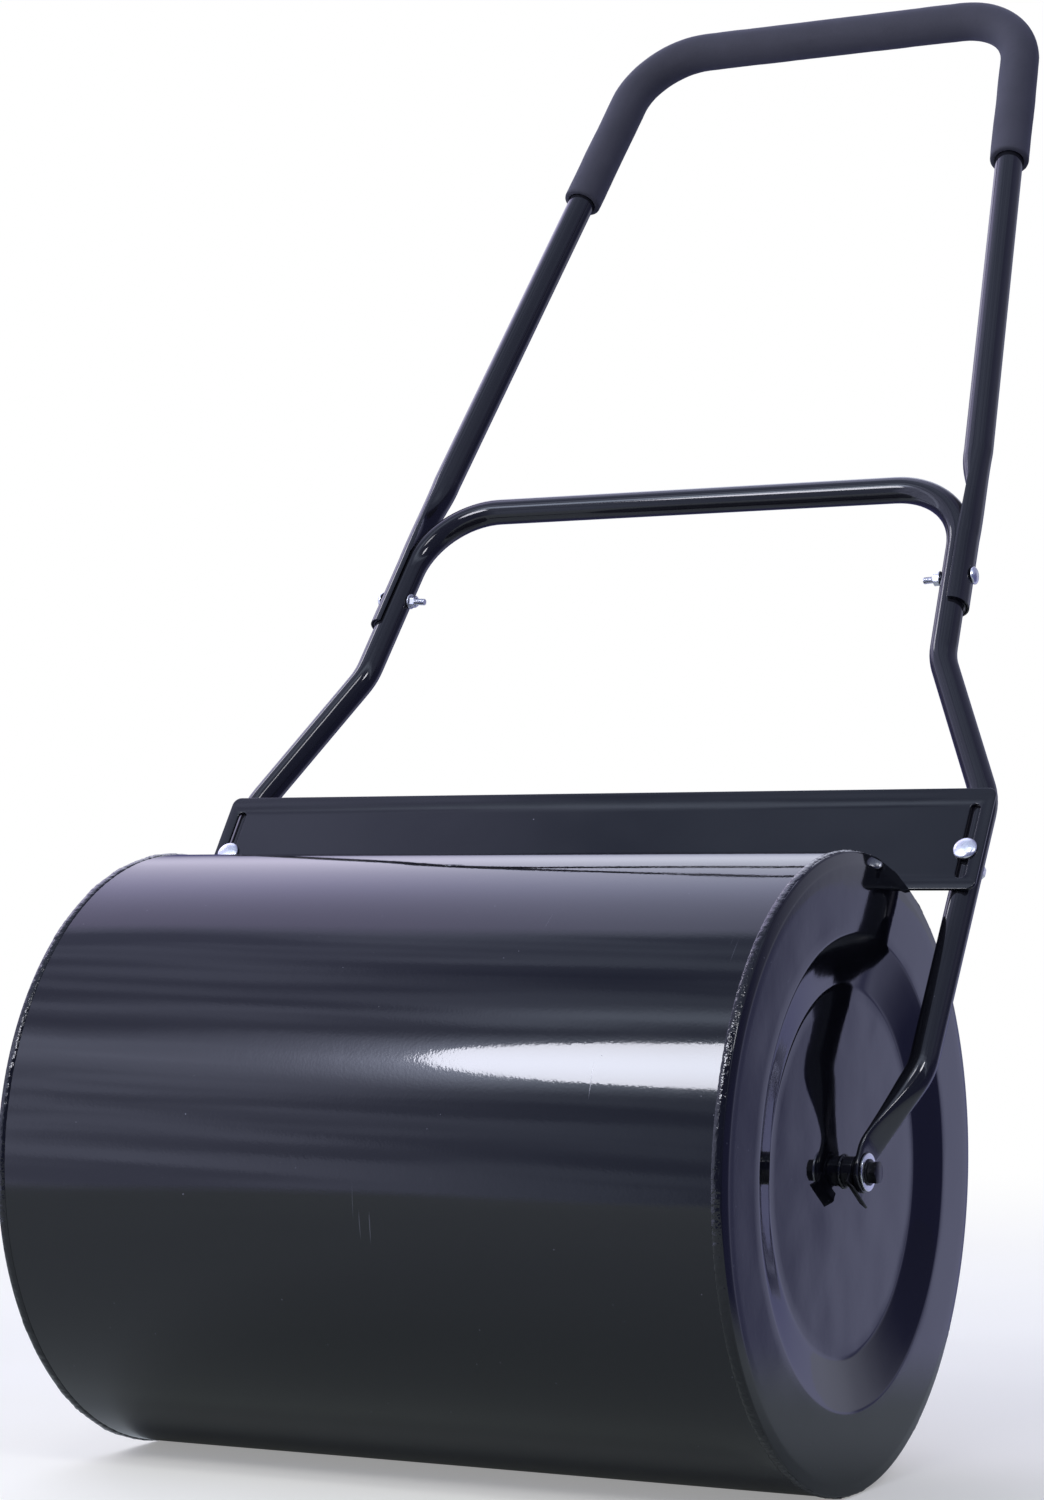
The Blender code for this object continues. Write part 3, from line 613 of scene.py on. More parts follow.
def make_drum_end(label, side):
    seed = 3.0 if side > 0 else 11.0

    def shape(spot):
        radius = spot.xy.length
        calm = ease(radius, 18 * MM, 45 * MM) * (1 - ease(radius, 150 * MM, 185 * MM))
        dent = 0.20 * noise.noise((spot.x * 13 + seed, spot.y * 13, 0.5)) * MM
        dent += 0.10 * noise.noise((spot.x * 34, spot.y * 34 + seed, 2.5)) * MM
        return spot + Vector((0, 0, min(dent, 0.1 * MM) * calm))

    cap = piece(f"drum_end_plate_{label}", revolved(end_profile(), 224, closed=True, shape=shape),
                END_PAINT)
    put(cap, axle_side(side))
    if side < 0:
        boolean(cap, rod_cutter(16.0 * MM, -12 * MM, 12 * MM, fill_axis(), 48), "DIFFERENCE")
    finish(cap, "drum", "gloss_black_paint", f"drum_end_{label}")


def weld_bead(name, radius, height, half_width, ripples, matrix, centre, tilt=0.0, top=None):
    """A painted arc-weld ring: overlapping ripples of uneven height and width."""
    build = bmesh.new()
    count = ripples * 5
    blobs = ripples * 0.30
    rows = []
    for i in range(count):
        a = TAU * i / count
        phase = ripples * a + 1.3 * noise.noise((math.cos(a) * 9, math.sin(a) * 9, centre * 50))
        crest = abs(math.cos(phase / 2)) ** 0.6
        slow = noise.noise((math.cos(a) * 14, math.sin(a) * 14, 4.0 + centre * 50))
        tall = height * (0.56 + 0.34 * crest + 0.34 * slow)
        wide = half_width * (0.9 + 0.12 * crest + 0.20 * slow)
        row = []
        for k in range(8):
            b = TAU * k / 8
            blob = (math.cos(a) * blobs, math.sin(a) * blobs, b * 1.3 + centre * 90)
            lump = 1 + 0.55 * noise.noise(blob)
            out = tall * lump * math.sin(b) if math.sin(b) > 0 else 0.8 * MM * math.sin(b)
            across = wide * math.cos(b) + 0.25 * half_width * slow
            reach = radius + out * math.cos(tilt) - across * math.sin(tilt)
            if top is not None:
                reach = min(reach, top)
            lift = centre + across * math.cos(tilt) + out * math.sin(tilt)
            row.append(build.verts.new((reach * math.cos(a), reach * math.sin(a), lift)))
        rows.append(row)
    grid_faces(build, rows, wrap_rows=True)
    return put(piece(name, build, BEAD_PAINT, sharp=math.radians(60)), matrix)


def make_weld_beads():
    for label, side in SIDES.items():
        bead = weld_bead(f"rim_weld_{label}", SKIN_R, 0.95 * MM, 2.7 * MM, 190, axle_side(side),
                         SEAM_X - 0.3 * MM, top=DRUM_R)
        finish(bead, "drum", "gloss_black_paint")
        hub = weld_bead(f"hub_weld_{label}", 9.9 * MM, 0.9 * MM, 1.4 * MM, 22, axle_side(side),
                        DISC_X + 0.6 * MM, tilt=math.radians(50))
        finish(hub, "drum", "gloss_black_paint")


def make_axle(label, side):
    """Stub, bush, washer and bolt: everything on the axle line that turns with the drum."""
    turn = axle_side(side)
    seat = DISC_X - SHEET - GAP
    stub = [(0, 231.3 * MM, 0), (AXLE_BORE, 231.3 * MM, 0), (AXLE_BORE, STUB_END, 0.3 * MM),
            (STUB_R, STUB_END, 0.8 * MM), (STUB_R, seat, 0), (30 * MM, seat, 0.5 * MM),
            (30 * MM, seat - 3 * MM, 0.5 * MM), (STUB_R, seat - 3 * MM, 0),
            (STUB_R, 226 * MM, 0.6 * MM), (0, 226 * MM, 0)]
    made = put(piece(f"axle_stub_{label}", revolved(filleted(stub), 64), FRAME_PAINT), turn)
    finish(made, "drum", "satin_black_paint", f"stub_axle_{label}")

    bush_end = WASHER_X - GAP
    bush_start = STUB_END + GAP
    bush = [(AXLE_BORE, bush_start, 0.2 * MM), (6 * MM, bush_start, 0.3 * MM),
            (6 * MM, bush_end, 0.3 * MM), (AXLE_BORE, bush_end, 0.2 * MM)]
    made = piece(f"axle_bush_{label}", revolved(filleted(bush, True), 48, True), ZINC_DULL)
    finish(put(made, turn), "drum", "zinc_plate", f"pivot_bush_{label}")

    washer = washer_mesh(AXLE_BORE, 12 * MM, WASHER_X, 1.6 * MM, 72)
    made = put(piece(f"axle_plain_washer_{label}", washer, ZINC_BRIGHT), turn)
    finish(made, "drum", "zinc_plate", f"axle_washer_{label}")

    bolt = hex_piece(f"axle_hex_bolt_{label}", 13 * MM, HEAD_X + 0.5 * MM, 5.9 * MM, OXIDE,
                     double=False)
    collar = [(0, HEAD_X, 0), (8.3 * MM, HEAD_X, 0.2 * MM),
              (8.3 * MM, HEAD_X + 0.7 * MM, 0.3 * MM), (6.4 * MM, HEAD_X + 1.2 * MM, 0),
              (0, HEAD_X + 1.2 * MM, 0)]
    boolean(bolt, piece("collar", revolved(filleted(collar), 64), OXIDE), "UNION")
    low = HEAD_X - 28 * MM
    shank = piece("shank", threaded(4 * MM, 1.25 * MM, low, HEAD_X + 2 * MM), OXIDE)
    boolean(bolt, shank, "UNION")
    finish(put(bolt, turn), "drum", "blackened_steel", f"axle_bolt_{label}")


def fill_axis():
    """Matrix from a shape along +z to the filling point on the left end, pointing outwards."""
    across = FILL_R * math.sin(FILL_ANGLE)
    up = AXLE_Z + FILL_R * math.cos(FILL_ANGLE)
    return Matrix.Translation((-FACE_X, across, up)) @ Matrix.Rotation(-math.pi / 2, 4, "Y")


def make_filling_point():
    axis = fill_axis()
    top = -SHEET - GAP
    bung = [(BUNG_R, 1.5 * MM, 0.5 * MM), (BUNG_R, top, 0), (17.4 * MM, top, 0.3 * MM),
            (17.4 * MM, top - SHEET, 0.3 * MM), (BUNG_R, top - SHEET, 0),
            (BUNG_R, -12 * MM, 0.4 * MM), (BUNG_BORE, -12 * MM, 0.5 * MM),
            (BUNG_BORE, 1.5 * MM, 0.5 * MM)]
    made = put(piece("fill_boss", revolved(filleted(bung, True), 96, True), FRAME_PAINT), axis)
    finish(made, "drum", "satin_black_paint", "fill_bung")

    gasket = [(BUNG_BORE, 1.8 * MM, 0.4 * MM), (BUNG_R, 1.8 * MM, 0.5 * MM),
              (BUNG_R, 3.3 * MM, 0.5 * MM), (BUNG_BORE, 3.3 * MM, 0.4 * MM)]
    made = put(piece("fill_gasket", revolved(filleted(gasket, True), 96, True), GASKET), axis)
    finish(made, "plug", "gasket_rubber", "plug_gasket")

    def fluted(spot):
        radius = spot.xy.length
        a = math.atan2(spot.y, spot.x)
        near = ease(radius, 15.4 * MM, 16.8 * MM) * ease(spot.z, 3.8 * MM, 4.4 * MM)
        cut = 0.65 * MM * near * max(0, math.cos(30 * a)) ** 1.5
        return Vector((spot.x * (1 - cut / radius), spot.y * (1 - cut / radius), spot.z))

    head = [(0, 9.0 * MM, 0), (13.2 * MM, 9.0 * MM, 0.4 * MM), (13.8 * MM, 9.6 * MM, 0.4 * MM),
            (17 * MM, 9.6 * MM, 1.2 * MM), (17 * MM, 3.6 * MM, 0.5 * MM),
            (12.0 * MM, 3.6 * MM, 0), (12.0 * MM, -11 * MM, 0.6 * MM),
            (9.4 * MM, -11 * MM, 0.6 * MM), (9.4 * MM, 1.5 * MM, 1.0 * MM), (0, 1.5 * MM, 0)]
    profile = divided(filleted(head), 1.2 * MM)
    plug = piece("fill_screw_plug", revolved(profile, 240, shape=fluted), PLUG)
    build = bmesh.new()
    bmesh.ops.create_cube(build, size=1, matrix=Matrix.Translation((0, 0, 10.6 * MM))
                          @ Matrix.Diagonal((27.6 * MM, 6 * MM, 7 * MM, 1)))
    bmesh.ops.bevel(build, geom=build.edges[:], offset=1.4 * MM, segments=4, profile=0.5,
                    affect="EDGES")
    boolean(plug, piece("grip_bar", build, PLUG), "UNION")
    finish(put(plug, axis), "plug", "plug_plastic", "fill_plug")


# Fasteners -----------------------------------------


def washer_mesh(inner, outer, bottom, thick, segments=56):
    edge = min(0.28 * thick, 0.4 * MM)
    corners = [(inner, bottom, edge), (outer, bottom, edge), (outer, bottom + thick, edge),
               (inner, bottom + thick, edge)]
    return revolved(filleted(corners, True, math.radians(30)), segments, True)


def hex_piece(name, flats, bottom, height, material, double, bore=0.0):
    """A hexagon with turned chamfers, and a bore where it is a nut."""
    build = bmesh.new()
    corner = flats / math.sqrt(3)
    middle = Matrix.Translation((0, 0, bottom + height / 2))
    bmesh.ops.create_cone(build, cap_ends=True, segments=6, radius1=corner, radius2=corner,
                          depth=height, matrix=middle)
    bmesh.ops.bevel(build, geom=build.edges[:], offset=0.12 * MM, segments=2, profile=0.5,
                    affect="EDGES")
    made = piece(name, build, material)
    low_r = flats / 2 * 0.97 if double else corner * 1.1
    slope = 0.5
    rise = (corner * 1.1 - flats / 2 * 0.97) * slope
    top = bottom + height
    cone = [(0, bottom - 1 * MM * (not double)), (low_r, bottom - 1 * MM * (not double))]
    cone += [(corner * 1.1, bottom + rise if double else bottom), (corner * 1.1, top - rise),
             (flats / 2 * 0.97, top), (0, top)]
    boolean(made, piece("chamfer", revolved(cone, 72), material), "INTERSECT")
    if bore:
        boolean(made, rod_cutter(bore, bottom - 1 * MM, top + 1 * MM, Matrix()), "DIFFERENCE")
    return made


def threaded(radius, pitch, bottom, top):
    """A bmesh rod with a helical thread and a chamfered tip at the bottom."""
    build = bmesh.new()
    depth = 0.55 * pitch
    sides = 20
    count = max(2, round((top - bottom) / pitch * 4))
    rows = []
    for i in range(count + 1):
        z = bottom + (top - bottom) * i / count
        tip = min(radius, radius - depth + (z - bottom) * 1.2)
        row = []
        for k in range(sides):
            a = TAU * k / sides
            wave = abs(((z / pitch - k / sides) % 1) * 2 - 1)
            r = min(tip, radius - depth * (1 - wave))
            row.append(build.verts.new((r * math.cos(a), r * math.sin(a), z)))
        rows.append(row)
    grid_faces(build, rows)
    build.faces.new(rows[0])
    build.faces.new(rows[-1])
    return build


def domed_bolt(name, size, reach):
    """Domed head on z = 0 with a flat rim, a small pressed hollow and a threaded shank."""
    r, h = size["head"], size["dome"]
    dome = [(0, h * 0.97)]
    for i in range(1, 13):
        a = math.pi / 2 * i / 13
        dome.append((r * math.sin(a), 0.18 * h + 0.82 * h * math.cos(a)))
    profile = dome + [(r, 0.14 * h), (r * 0.985, 0), (0, 0)]
    made = piece(name, revolved(profile, 56), ZINC_BRIGHT)
    shank = piece("shank", threaded(size["shank"], size["pitch"], -reach, 0.6 * MM), ZINC_BRIGHT)
    return boolean(made, shank, "UNION")


M6 = {"shank": 3 * MM, "pitch": 1.0 * MM, "head": 8.2 * MM, "dome": 3.4 * MM, "washer": 6 * MM,
      "disc": 1.2 * MM, "flats": 10 * MM, "nut": 5 * MM, "tail": 3.5 * MM, "bore": 3.35 * MM}
M5 = {"shank": 2.5 * MM, "pitch": 0.8 * MM, "head": 6.3 * MM, "dome": 3.4 * MM, "washer": 5.6 * MM,
      "disc": 1 * MM, "flats": 8 * MM, "nut": 4 * MM, "tail": 7.5 * MM, "bore": 2.85 * MM}


def washer_and_nut(prefix, label, size, seat, matrix):
    washer = washer_mesh(size["bore"], size["washer"], seat, size["disc"])
    made = put(piece(f"{prefix}_plain_washer_{label}", washer, ZINC_DULL), matrix)
    finish(made, "frame", "zinc_plate", f"{prefix}_washer_{label}")
    bottom = seat + size["disc"] + GAP
    made = hex_piece(f"{prefix}_hex_nut_{label}", size["flats"], bottom, size["nut"], ZINC_BRIGHT,
                     True, size["bore"])
    finish(put(made, matrix), "frame", "zinc_plate", f"{prefix}_nut_{label}")
    return bottom + size["nut"] + size["tail"]


def make_fasteners():
    front = LOW_R + 2 * GAP + PLATE["sheet"]
    lean = math.atan(NECK_SLOPE)
    for label, side in SIDES.items():
        spot = PLANE @ Matrix.Translation((side * ARM_X, 0, SCRAPER_BOLT_S))
        back = spot @ Matrix.Rotation(-math.pi / 2, 4, "X")
        tail = washer_and_nut("scraper", label, M6, LOW_R + GAP, back)
        bolt = domed_bolt(f"scraper_coach_bolt_{label}", M6, front + tail)
        ahead = spot @ Matrix.Translation((0, -front, 0)) @ Matrix.Rotation(math.pi / 2, 4, "X")
        finish(put(bolt, ahead), "frame", "zinc_plate", f"scraper_bolt_{label}")

        spot = PLANE @ Matrix.Translation((side * neck_x(HANDLE_BOLT_S), 0, HANDLE_BOLT_S))
        inward = spot @ Matrix.Rotation(-side * (math.pi / 2 + lean), 4, "Y")
        tail = washer_and_nut("handle", label, M5, LOW_R + GAP, inward)
        seat = LOW_R + 2 * GAP + SADDLE_THICK
        bolt = domed_bolt(f"handle_coach_bolt_{label}", M5, seat + tail)
        outward = spot @ Matrix.Rotation(side * (math.pi / 2 - lean), 4, "Y")
        outward = outward @ Matrix.Translation((0, 0, seat))
        finish(put(bolt, outward), "frame", "zinc_plate", f"handle_bolt_{label}")


def make_tab_washer(label, side):
    """Pressed spacer plate, as wide as the lug, whose end is folded outwards below it."""
    start, thick, width = TAB_X, 1.4 * MM, 26.4 * MM
    ring = washer_mesh(PIVOT_BORE, 10.5 * MM, start, thick)
    made = piece(f"bent_tab_washer_{label}", ring, OXIDE)
    lean = math.radians(56)
    foot = 6.6 * MM
    middle = start + thick / 2
    fold = 14.4 * MM
    line = [(8.6 * MM, middle, 0), (fold, middle, 1.6 * MM),
            (fold + foot * math.cos(lean), middle + foot * math.sin(lean), 0)]
    points = filleted(line, step=math.radians(8))
    build = bmesh.new()
    rows = []
    for i, here in enumerate(points):
        before = points[max(i - 1, 0)]
        after = points[min(i + 1, len(points) - 1)]
        along = (after - before).normalized()
        out = Vector((-along.y, along.x)) * thick / 2
        row = []
        for y, o in ((-1, -1), (1, -1), (1, 1), (-1, 1)):
            spot = here + out * o
            row.append(build.verts.new((spot.x, y * width / 2, spot.y)))
        rows.append(row)
    grid_faces(build, rows)
    build.faces.new(rows[0])
    build.faces.new(rows[-1])
    bmesh.ops.recalc_face_normals(build, faces=build.faces)
    edges = [e for e in build.edges if e.is_manifold and e.calc_face_angle(0) > 1.0]
    bmesh.ops.bevel(build, geom=edges, offset=0.3 * MM, segments=2, profile=0.5, affect="EDGES")
    boolean(made, piece("tab", build, OXIDE), "UNION")
    spin = Matrix.Rotation(0 if side > 0 else math.pi, 4, "Z")
    aim = PLANE @ Matrix.Rotation(side * math.pi / 2, 4, "Y") @ spin
    finish(put(made, aim), "frame", "blackened_steel", f"tab_washer_{label}")


# Push frame ----------------------------------------


def make_lower_frame():
    end = -LUG_HALF
    corners = [(LUG_X, end, 0), (LUG_X, 15 * MM, 28 * MM), (ARM_X, 75 * MM, 45 * MM),
               (ARM_X, 282 * MM, 50 * MM), (*NECK, 50 * MM),
               (neck_x(CROSSBAR_S), CROSSBAR_S, 60 * MM), (0, CROSSBAR_S, 0)]
    half = divided(filleted(corners, step=math.radians(5)), 22 * MM)
    steps = (0, 0.25, 0.9, 2, 3.5, 5.4, 7.6, 10, 13, 17, 21)
    fine = [Vector((LUG_X, end + d * MM)) for d in steps]
    start = next(i for i, p in enumerate(half) if p.y > fine[-1].y)
    rest = []
    for a, b in zip(half[start:], half[start + 1:]):
        parts = 4 if a.y < 95 * MM and a.x > NECK[0] else 1
        rest += [a.lerp(b, k / parts) for k in range(parts)]
    build = tube_mesh(mirrored(fine + rest), lug_section, 40)
    made = piece("push_frame_lower_tube", build, FRAME_PAINT)
    for side in SIDES.values():
        pivot = Matrix.Rotation(side * math.pi / 2, 4, "Y")
        boolean(made, rod_cutter(PIVOT_BORE, 250 * MM, 270 * MM, pivot, 48), "DIFFERENCE")
        hole = Matrix.Translation((side * ARM_X, 0, SCRAPER_BOLT_S))
        hole = hole @ Matrix.Rotation(math.pi / 2, 4, "X")
        boolean(made, cross_bore(M6, hole), "DIFFERENCE")
        boolean(made, cross_bore(M5, handle_bolt_hole(side)), "DIFFERENCE")
    finish(put(made, PLANE), "frame", "satin_black_paint", "lower_frame")


def cross_bore(size, matrix):
    """A cutter for the hole of one bolt through a tube."""
    return rod_cutter(size["bore"], -20 * MM, 20 * MM, matrix)


def handle_bolt_hole(side):
    spot = Matrix.Translation((side * neck_x(HANDLE_BOLT_S), 0, HANDLE_BOLT_S))
    return spot @ Matrix.Rotation(side * (math.pi / 2 - math.atan(NECK_SLOPE)), 4, "Y")


def make_upper_handle():
    corners = [(neck_x(SADDLE_S), SADDLE_S, 0), (neck_x(SADDLE_TOP_S), SADDLE_TOP_S, 40 * MM),
               (ROUND_X, ROUND_S, 40 * MM), (handle_x(TOP_S), TOP_S, 60 * MM), (0, TOP_S, 0)]
    half = divided(filleted(corners, step=math.radians(4)), 24 * MM)
    fine = []
    for a, b in zip(half, half[1:]):
        parts = 5 if a.y < 620 * MM and a.x > 0.2 else 1
        fine += [a.lerp(b, k / parts) for k in range(parts)]
    build = tube_mesh(mirrored(fine), lambda d, a: saddle_section(0, d, a), 44,
                      inside=lambda d, a: saddle_section(1.2 * MM, d, a))
    made = piece("push_frame_handle_tube", build, FRAME_PAINT)
    for side in SIDES.values():
        boolean(made, cross_bore(M5, handle_bolt_hole(side)), "DIFFERENCE")
    finish(put(made, PLANE), "frame", "satin_black_paint", "upper_handle")


def make_foam_grip():
    """A soft sleeve: slightly uneven, slack in random waves, with worn round lips."""
    corners = [(handle_x(GRIP_S), GRIP_S, 0), (handle_x(TOP_S), TOP_S, 60 * MM), (0, TOP_S, 0)]
    half = divided(filleted(corners, step=math.radians(4)), 7 * MM)
    path = mirrored(half[:-1])
    inner = HIGH_R + GAP
    lip = 1.5 * MM
    sides = 48

    def outside(distance, angle):
        x, y = math.cos(angle), math.sin(angle)
        slack = 0.30 * noise.noise((x, y, distance * 28)) * MM
        slack += 0.12 * noise.noise((x * 3, y * 3, distance * 120)) * MM
        edge = max(0, 2.0 * MM - distance) / (2.0 * MM)
        radius = GRIP_R - 0.42 * MM + min(slack, 0.28 * MM) - lip * (1 - math.sqrt(1 - edge**2))
        return radius * x, radius * y

    def inside(distance, angle):
        edge = max(0, 1.0 * MM - distance) / (1.0 * MM)
        radius = inner + 0.8 * MM * edge**2
        return radius * math.cos(angle), radius * math.sin(angle)

    first = [path[0].lerp(path[1], t) for t in (0.0, 0.03, 0.08, 0.15, 0.28, 0.5)]
    last = [Vector((-p.x, p.y)) for p in reversed(first)]
    build = tube_mesh(first + path[1:-1] + last, outside, sides, inside=inside)
    made = piece("foam_grip_sleeve", build, FOAM)
    finish(put(made, PLANE), "frame", "grip_foam", "foam_grip")


def make_scraper():
    """Sheared steel strip with rounded edges and two adjusting slots."""
    curve = bpy.data.curves.new("scraper_sheet", "CURVE")
    curve.dimensions = "2D"
    curve.fill_mode = "BOTH"
    edge = 0.7 * MM
    curve.bevel_depth = edge
    curve.bevel_resolution = 3
    curve.extrude = PLATE["sheet"] / 2 - edge
    curve.offset = -edge
    w, low, high, r = PLATE["x"], PLATE["low"], PLATE["high"], 6 * MM
    outlines = [[(-w, low, r), (w, low, r), (w, high, r), (-w, high, r)]]
    half = SLOT["width"] / 2
    turn = half * 0.98
    for x in (-ARM_X, ARM_X):
        outlines.append([(x - half, SLOT["low"], turn), (x + half, SLOT["low"], turn),
                         (x + half, SLOT["high"], turn), (x - half, SLOT["high"], turn)])
    for outline in outlines:
        points = filleted(outline, True, math.radians(10))
        spline = curve.splines.new("POLY")
        spline.points.add(len(points) - 1)
        spline.use_cyclic_u = True
        for spot, point in zip(spline.points, points):
            spot.co = (point.x, point.y, 0, 1)
    guide = bpy.data.objects.new("scraper_sheet", curve)
    bpy.context.scene.collection.objects.link(guide)
    bpy.context.view_layer.update()
    seen = guide.evaluated_get(bpy.context.evaluated_depsgraph_get())
    mesh = bpy.data.meshes.new_from_object(seen)
    bpy.data.objects.remove(guide)
    build = bmesh.new()
    build.from_mesh(mesh)
    bmesh.ops.remove_doubles(build, verts=build.verts, dist=1e-6)
    made = piece("scraper_blade", build, PLATE_PAINT, sharp=math.radians(40))
    depth = -(LOW_R + GAP + PLATE["sheet"] / 2)
    put(made, PLANE @ Matrix.Translation((0, depth, 0)) @ Matrix.Rotation(math.pi / 2, 4, "X"))
    finish(made, "scraper", "satin_black_paint", "scraper_plate")


# Studio --------------------------------------------


def studio_ahead(nodes, roll, sway):
    """Brightness from the front horizon to overhead: a low part, brightest at the far left, and
    a high part with a bright band near its foot, both broken by soft streaks."""
    low = nodes.plus(nodes.ramp(sway, -0.68, -0.44, 0.60, 0.0),
                nodes.ramp(sway, -0.50, -0.10, 0.42, 0.12))
    top = nodes.plus(nodes.ramp(sway, -0.64, -0.44, 0.18, 0.0),
                nodes.ramp(sway, -0.30, 0.95, 0.50, 0.36))
    dim = nodes.times(nodes.hill(sway, -0.51, 0.13), nodes.hill(roll, 73.0, 9.0, -0.24))
    bright = nodes.times(nodes.ramp(sway, -0.60, -0.50, 0.25, 1.0),
                     nodes.hill(roll, 57.5, 6.3, 0.75))
    top = nodes.plus(top, nodes.plus(dim, bright))
    slant = nodes.math("MULTIPLY_ADD", sway, 3.6, nodes.times(roll, 0.13))
    lines = nodes.add("ShaderNodeCombineXYZ", X=nodes.times(sway, 5.0), Y=slant)
    streaks = nodes.ramp(nodes.noise(lines.outputs[0], 1.0, 1.5, 0.5), 0.36, 0.64, 0.74, 1.24)
    ahead = nodes.plus(nodes.times(low, nodes.ramp(roll, 40.0, 56.0, 1.0, 0.0)),
                  nodes.times(top, nodes.ramp(roll, 40.0, 56.0)))
    return nodes.times(ahead, streaks)


def studio_behind(nodes, roll, sway, z):
    """Brightness behind: a pale wall above, and a dimmer patch with a notch at the horizon."""
    wall = nodes.times(nodes.ramp(roll, 96.0, 135.0, 1.22, 1.60),
                   nodes.ramp(sway, -0.40, 0.10, 1.0, 0.20))
    patch = nodes.plus(nodes.hill(sway, 0.36, 0.50, 0.48), 0.10)
    notch = nodes.times(nodes.hill(sway, 0.47, 0.075, -0.34), nodes.ramp(z, 0.05, -0.01))
    return nodes.blended(nodes.ramp(z, 0.12, 0.42), nodes.plus(patch, notch), wall)


def left_halo(nodes, roll, sway):
    """The glow round the large lamp, strongest towards the far left."""
    rise = nodes.math("POWER", nodes.ramp(sway, -0.67, -0.55, smooth=False), 2.5)
    halo = nodes.plus(nodes.times(rise, 3.6), 0.75)
    halo = nodes.times(halo, nodes.hill(roll, 39.5, 13.0))
    return nodes.times(halo, nodes.ramp(sway, -0.50, -0.25, 1.0, 0.0))


def make_world():
    """Soft studio, plain white to the eye. What the gloss shows is set by direction: roll is
    the angle in degrees from the front horizon (0) over the top (90) to the back (180), and
    sway leans left (negative) or right of it."""
    world = bpy.data.worlds.new("studio")
    bpy.context.scene.world = world
    world.use_nodes = True
    tree = world.node_tree
    nodes = Nodes(tree)
    way = nodes.add("ShaderNodeTexCoord").outputs["Generated"]
    x, y, z = nodes.add("ShaderNodeSeparateXYZ", Vector=way).outputs
    front = nodes.times(y, -1.0)
    roll = nodes.math("DEGREES", nodes.math("ARCTAN2", z, front))
    flat = nodes.math("SQRT", nodes.math("MULTIPLY_ADD", y, y, nodes.times(z, z)))
    sway = nodes.math("DIVIDE", x, nodes.math("MAXIMUM", flat, 0.05))

    under = nodes.times(nodes.math("LESS_THAN", front, 0.0), nodes.math("LESS_THAN", z, 0.0))
    behind = nodes.math("MAXIMUM", nodes.ramp(roll, 92.5, 99.5), under)
    level = nodes.blended(behind, studio_ahead(nodes, roll, sway),
                    studio_behind(nodes, roll, sway, z))
    level = nodes.plus(level, left_halo(nodes, roll, sway))

    greener = nodes.ramp(sway, -0.62, -0.45, 1.04, 1.12)
    green = nodes.math("SUBTRACT", greener, nodes.times(behind, 0.10))
    blue = nodes.math("MULTIPLY_ADD", level, nodes.ramp(roll, 118.0, 155.0, 1.36, 1.14), 0.12)
    tint = nodes.add("ShaderNodeCombineColor", Red=nodes.times(level, 0.98),
                     Green=nodes.times(level, green), Blue=blue).outputs[0]
    seen = nodes.add("ShaderNodeLightPath").outputs["Is Camera Ray"]
    nodes.feed(tree.nodes["Background"].inputs["Color"], nodes.mix(seen, tint, rgb(1, 1, 1)))


def softbox(name, place, aim, width, height, radiance, colour):
    """An oval lamp of the given radiance, unseen by the camera."""
    data = bpy.data.lights.new(name, "AREA")
    data.shape = "ELLIPSE"
    data.size = width
    data.size_y = height
    area = width * height * (math.pi / 4)
    data.energy = radiance * area * math.pi
    data.color = colour
    made = bpy.data.objects.new(name, data)
    bpy.context.scene.collection.objects.link(made)
    made.location = place
    made.rotation_euler = (Vector(aim) - Vector(place)).to_track_quat("-Z", "Y").to_euler()
    made.visible_camera = False
    return made


def make_lights():
    softbox("key_softbox", (-0.80, -1.95, 1.75), (0.2, -0.18, 0.28), 0.80, 0.70, 14.2,
            (1.0, 1.0, 1.10))
    middle = Vector((0, 0.2, 0.5))
    spots = {"right_spot": (50, 33, 17.0), "front_spot": (9, 46, 9.0), "left_spot": (-95, 39, 5.0)}
    for name, (azimuth, elevation, radiance) in spots.items():
        a, e = math.radians(azimuth), math.radians(elevation)
        away = Vector((math.sin(a) * math.cos(e), -math.cos(a) * math.cos(e), math.sin(e))) * 3.2
        softbox(name, middle + away, middle, 0.50, 0.50, radiance, (1.0, 1.0, 1.06))


def shaded(nodes, kind, a, b, factor=None):
    """Two shaders added, or mixed by factor."""
    made = nodes.add(kind)
    first = 0
    if factor is not None:
        nodes.feed(made.inputs[0], factor)
        first = 1
    nodes.feed(made.inputs[first], a)
    nodes.feed(made.inputs[first + 1], b)
    return made.outputs[0]


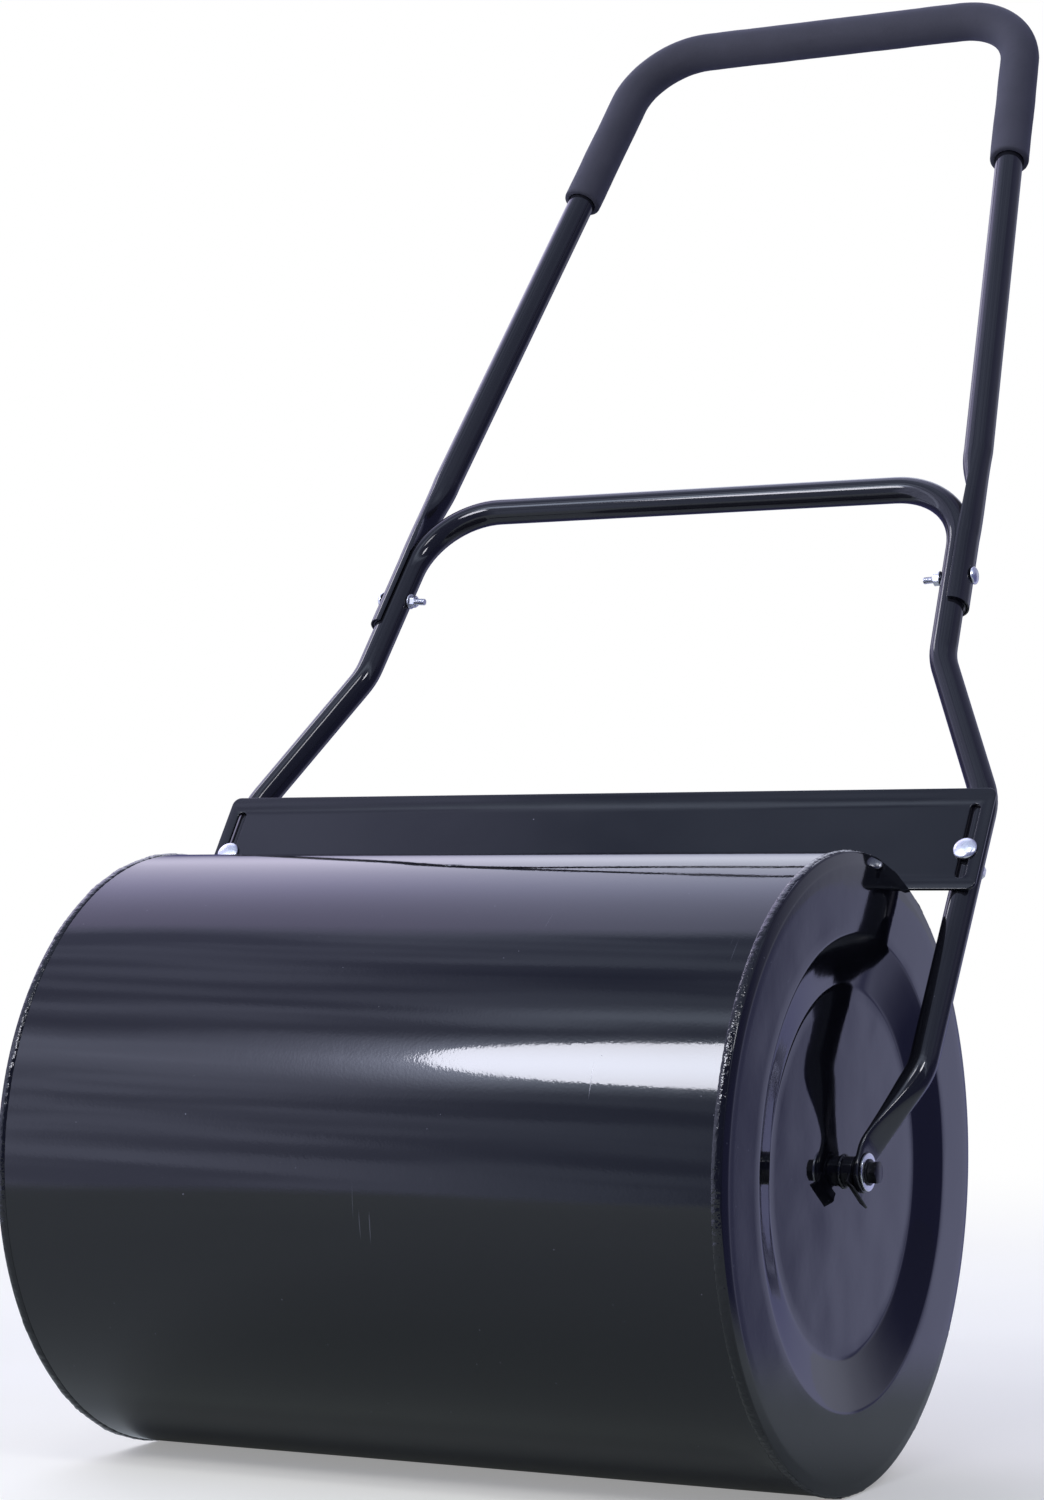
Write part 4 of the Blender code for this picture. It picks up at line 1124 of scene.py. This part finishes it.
def make_floor():
    """A pale seamless floor. The gloss sees a sheet of it round the roller and the studio's
    dimmer far end beyond."""
    build = bmesh.new()
    bmesh.ops.create_grid(build, x_segments=24, y_segments=24, size=9)
    material = bpy.data.materials.new("studio_floor")
    material.use_nodes = True
    tree = material.node_tree
    nodes = Nodes(tree)
    tree.nodes.remove(tree.nodes["Principled BSDF"])
    coord = nodes.add("ShaderNodeTexCoord").outputs["Object"]
    grain = nodes.ramp(nodes.noise(coord, 3.0, 3.0), 0.3, 0.7, 0.96, 1.0)

    def matt(r, g, b):
        colour = nodes.mix(grain, rgb(0, 0, 0), rgb(r, g, b))
        return nodes.add("ShaderNodeBsdfDiffuse", Color=colour).outputs[0]

    def glow(colour, strength):
        return nodes.add("ShaderNodeEmission", Color=colour, Strength=strength).outputs[0]

    centre = nodes.add("ShaderNodeVectorMath", {"operation": "DISTANCE"})
    nodes.feed(centre.inputs[0], coord)
    centre.inputs[1].default_value = (0.0, -0.40, 0)
    lit_sheet = shaded(nodes, "ShaderNodeAddShader", matt(0.53, 0.57, 0.49),
                       glow(rgb(0.96, 1, 0.95), 0.03))
    nothing = nodes.add("ShaderNodeBsdfTransparent").outputs[0]
    mirrored_view = shaded(nodes, "ShaderNodeMixShader", lit_sheet, nothing,
                           nodes.ramp(centre.outputs["Value"], 0.80, 1.25))

    reach = nodes.add("ShaderNodeVectorMath", {"operation": "LENGTH"})
    nodes.feed(reach.inputs[0], coord)
    near = shaded(nodes, "ShaderNodeAddShader", matt(0.74, 0.72, 0.60), glow(rgb(1, 1, 1), 0.30))
    straight_view = shaded(nodes, "ShaderNodeMixShader", near, glow(rgb(1, 1, 1), 1.0),
                           nodes.ramp(reach.outputs["Value"], 0.5, 2.6))

    seen = nodes.add("ShaderNodeLightPath").outputs["Is Camera Ray"]
    both = shaded(nodes, "ShaderNodeMixShader", mirrored_view, straight_view, seen)
    nodes.feed(tree.nodes["Material Output"].inputs["Surface"], both)
    floor = piece("floor", build, material)


# Build ---------------------------------------------

make_camera()
bpy.context.scene.view_settings.view_transform = "Standard"

PLAIN = bpy.data.materials.new("cutter")
DRUM_PAINT = gloss_paint("drum_gloss_enamel", 1.1e-5, True)
END_PAINT = gloss_paint("end_gloss_enamel", 4.0e-6, False)
BEAD_PAINT = gloss_paint("weld_gloss_enamel", 1.2e-5, False, lumps=6e-4)
FRAME_PAINT = satin_paint("frame_powder_coat", (0.0115, 0.0115, 0.0140), 0.075, 4e-6)
PLATE_PAINT = plate_paint()
FOAM = foam_rubber()
ZINC_BRIGHT = zinc("bright_zinc", (0.86, 0.88, 0.93), 0.24)
ZINC_DULL = zinc("dull_zinc", (0.72, 0.74, 0.78), 0.34)
OXIDE = black_oxide()
PLUG = moulded("plug_moulding", (0.012, 0.012, 0.013), 0.42, 3e-5)
GASKET = moulded("gasket_moulding", (0.010, 0.010, 0.010), 0.7, 2e-5)

make_world()
make_lights()
make_floor()
make_drum_shell()
make_weld_beads()
make_filling_point()
for label, side in SIDES.items():
    make_drum_end(label, side)
    make_axle(label, side)
    make_tab_washer(label, side)
make_lower_frame()
make_upper_handle()
make_foam_grip()
make_scraper()
make_fasteners()
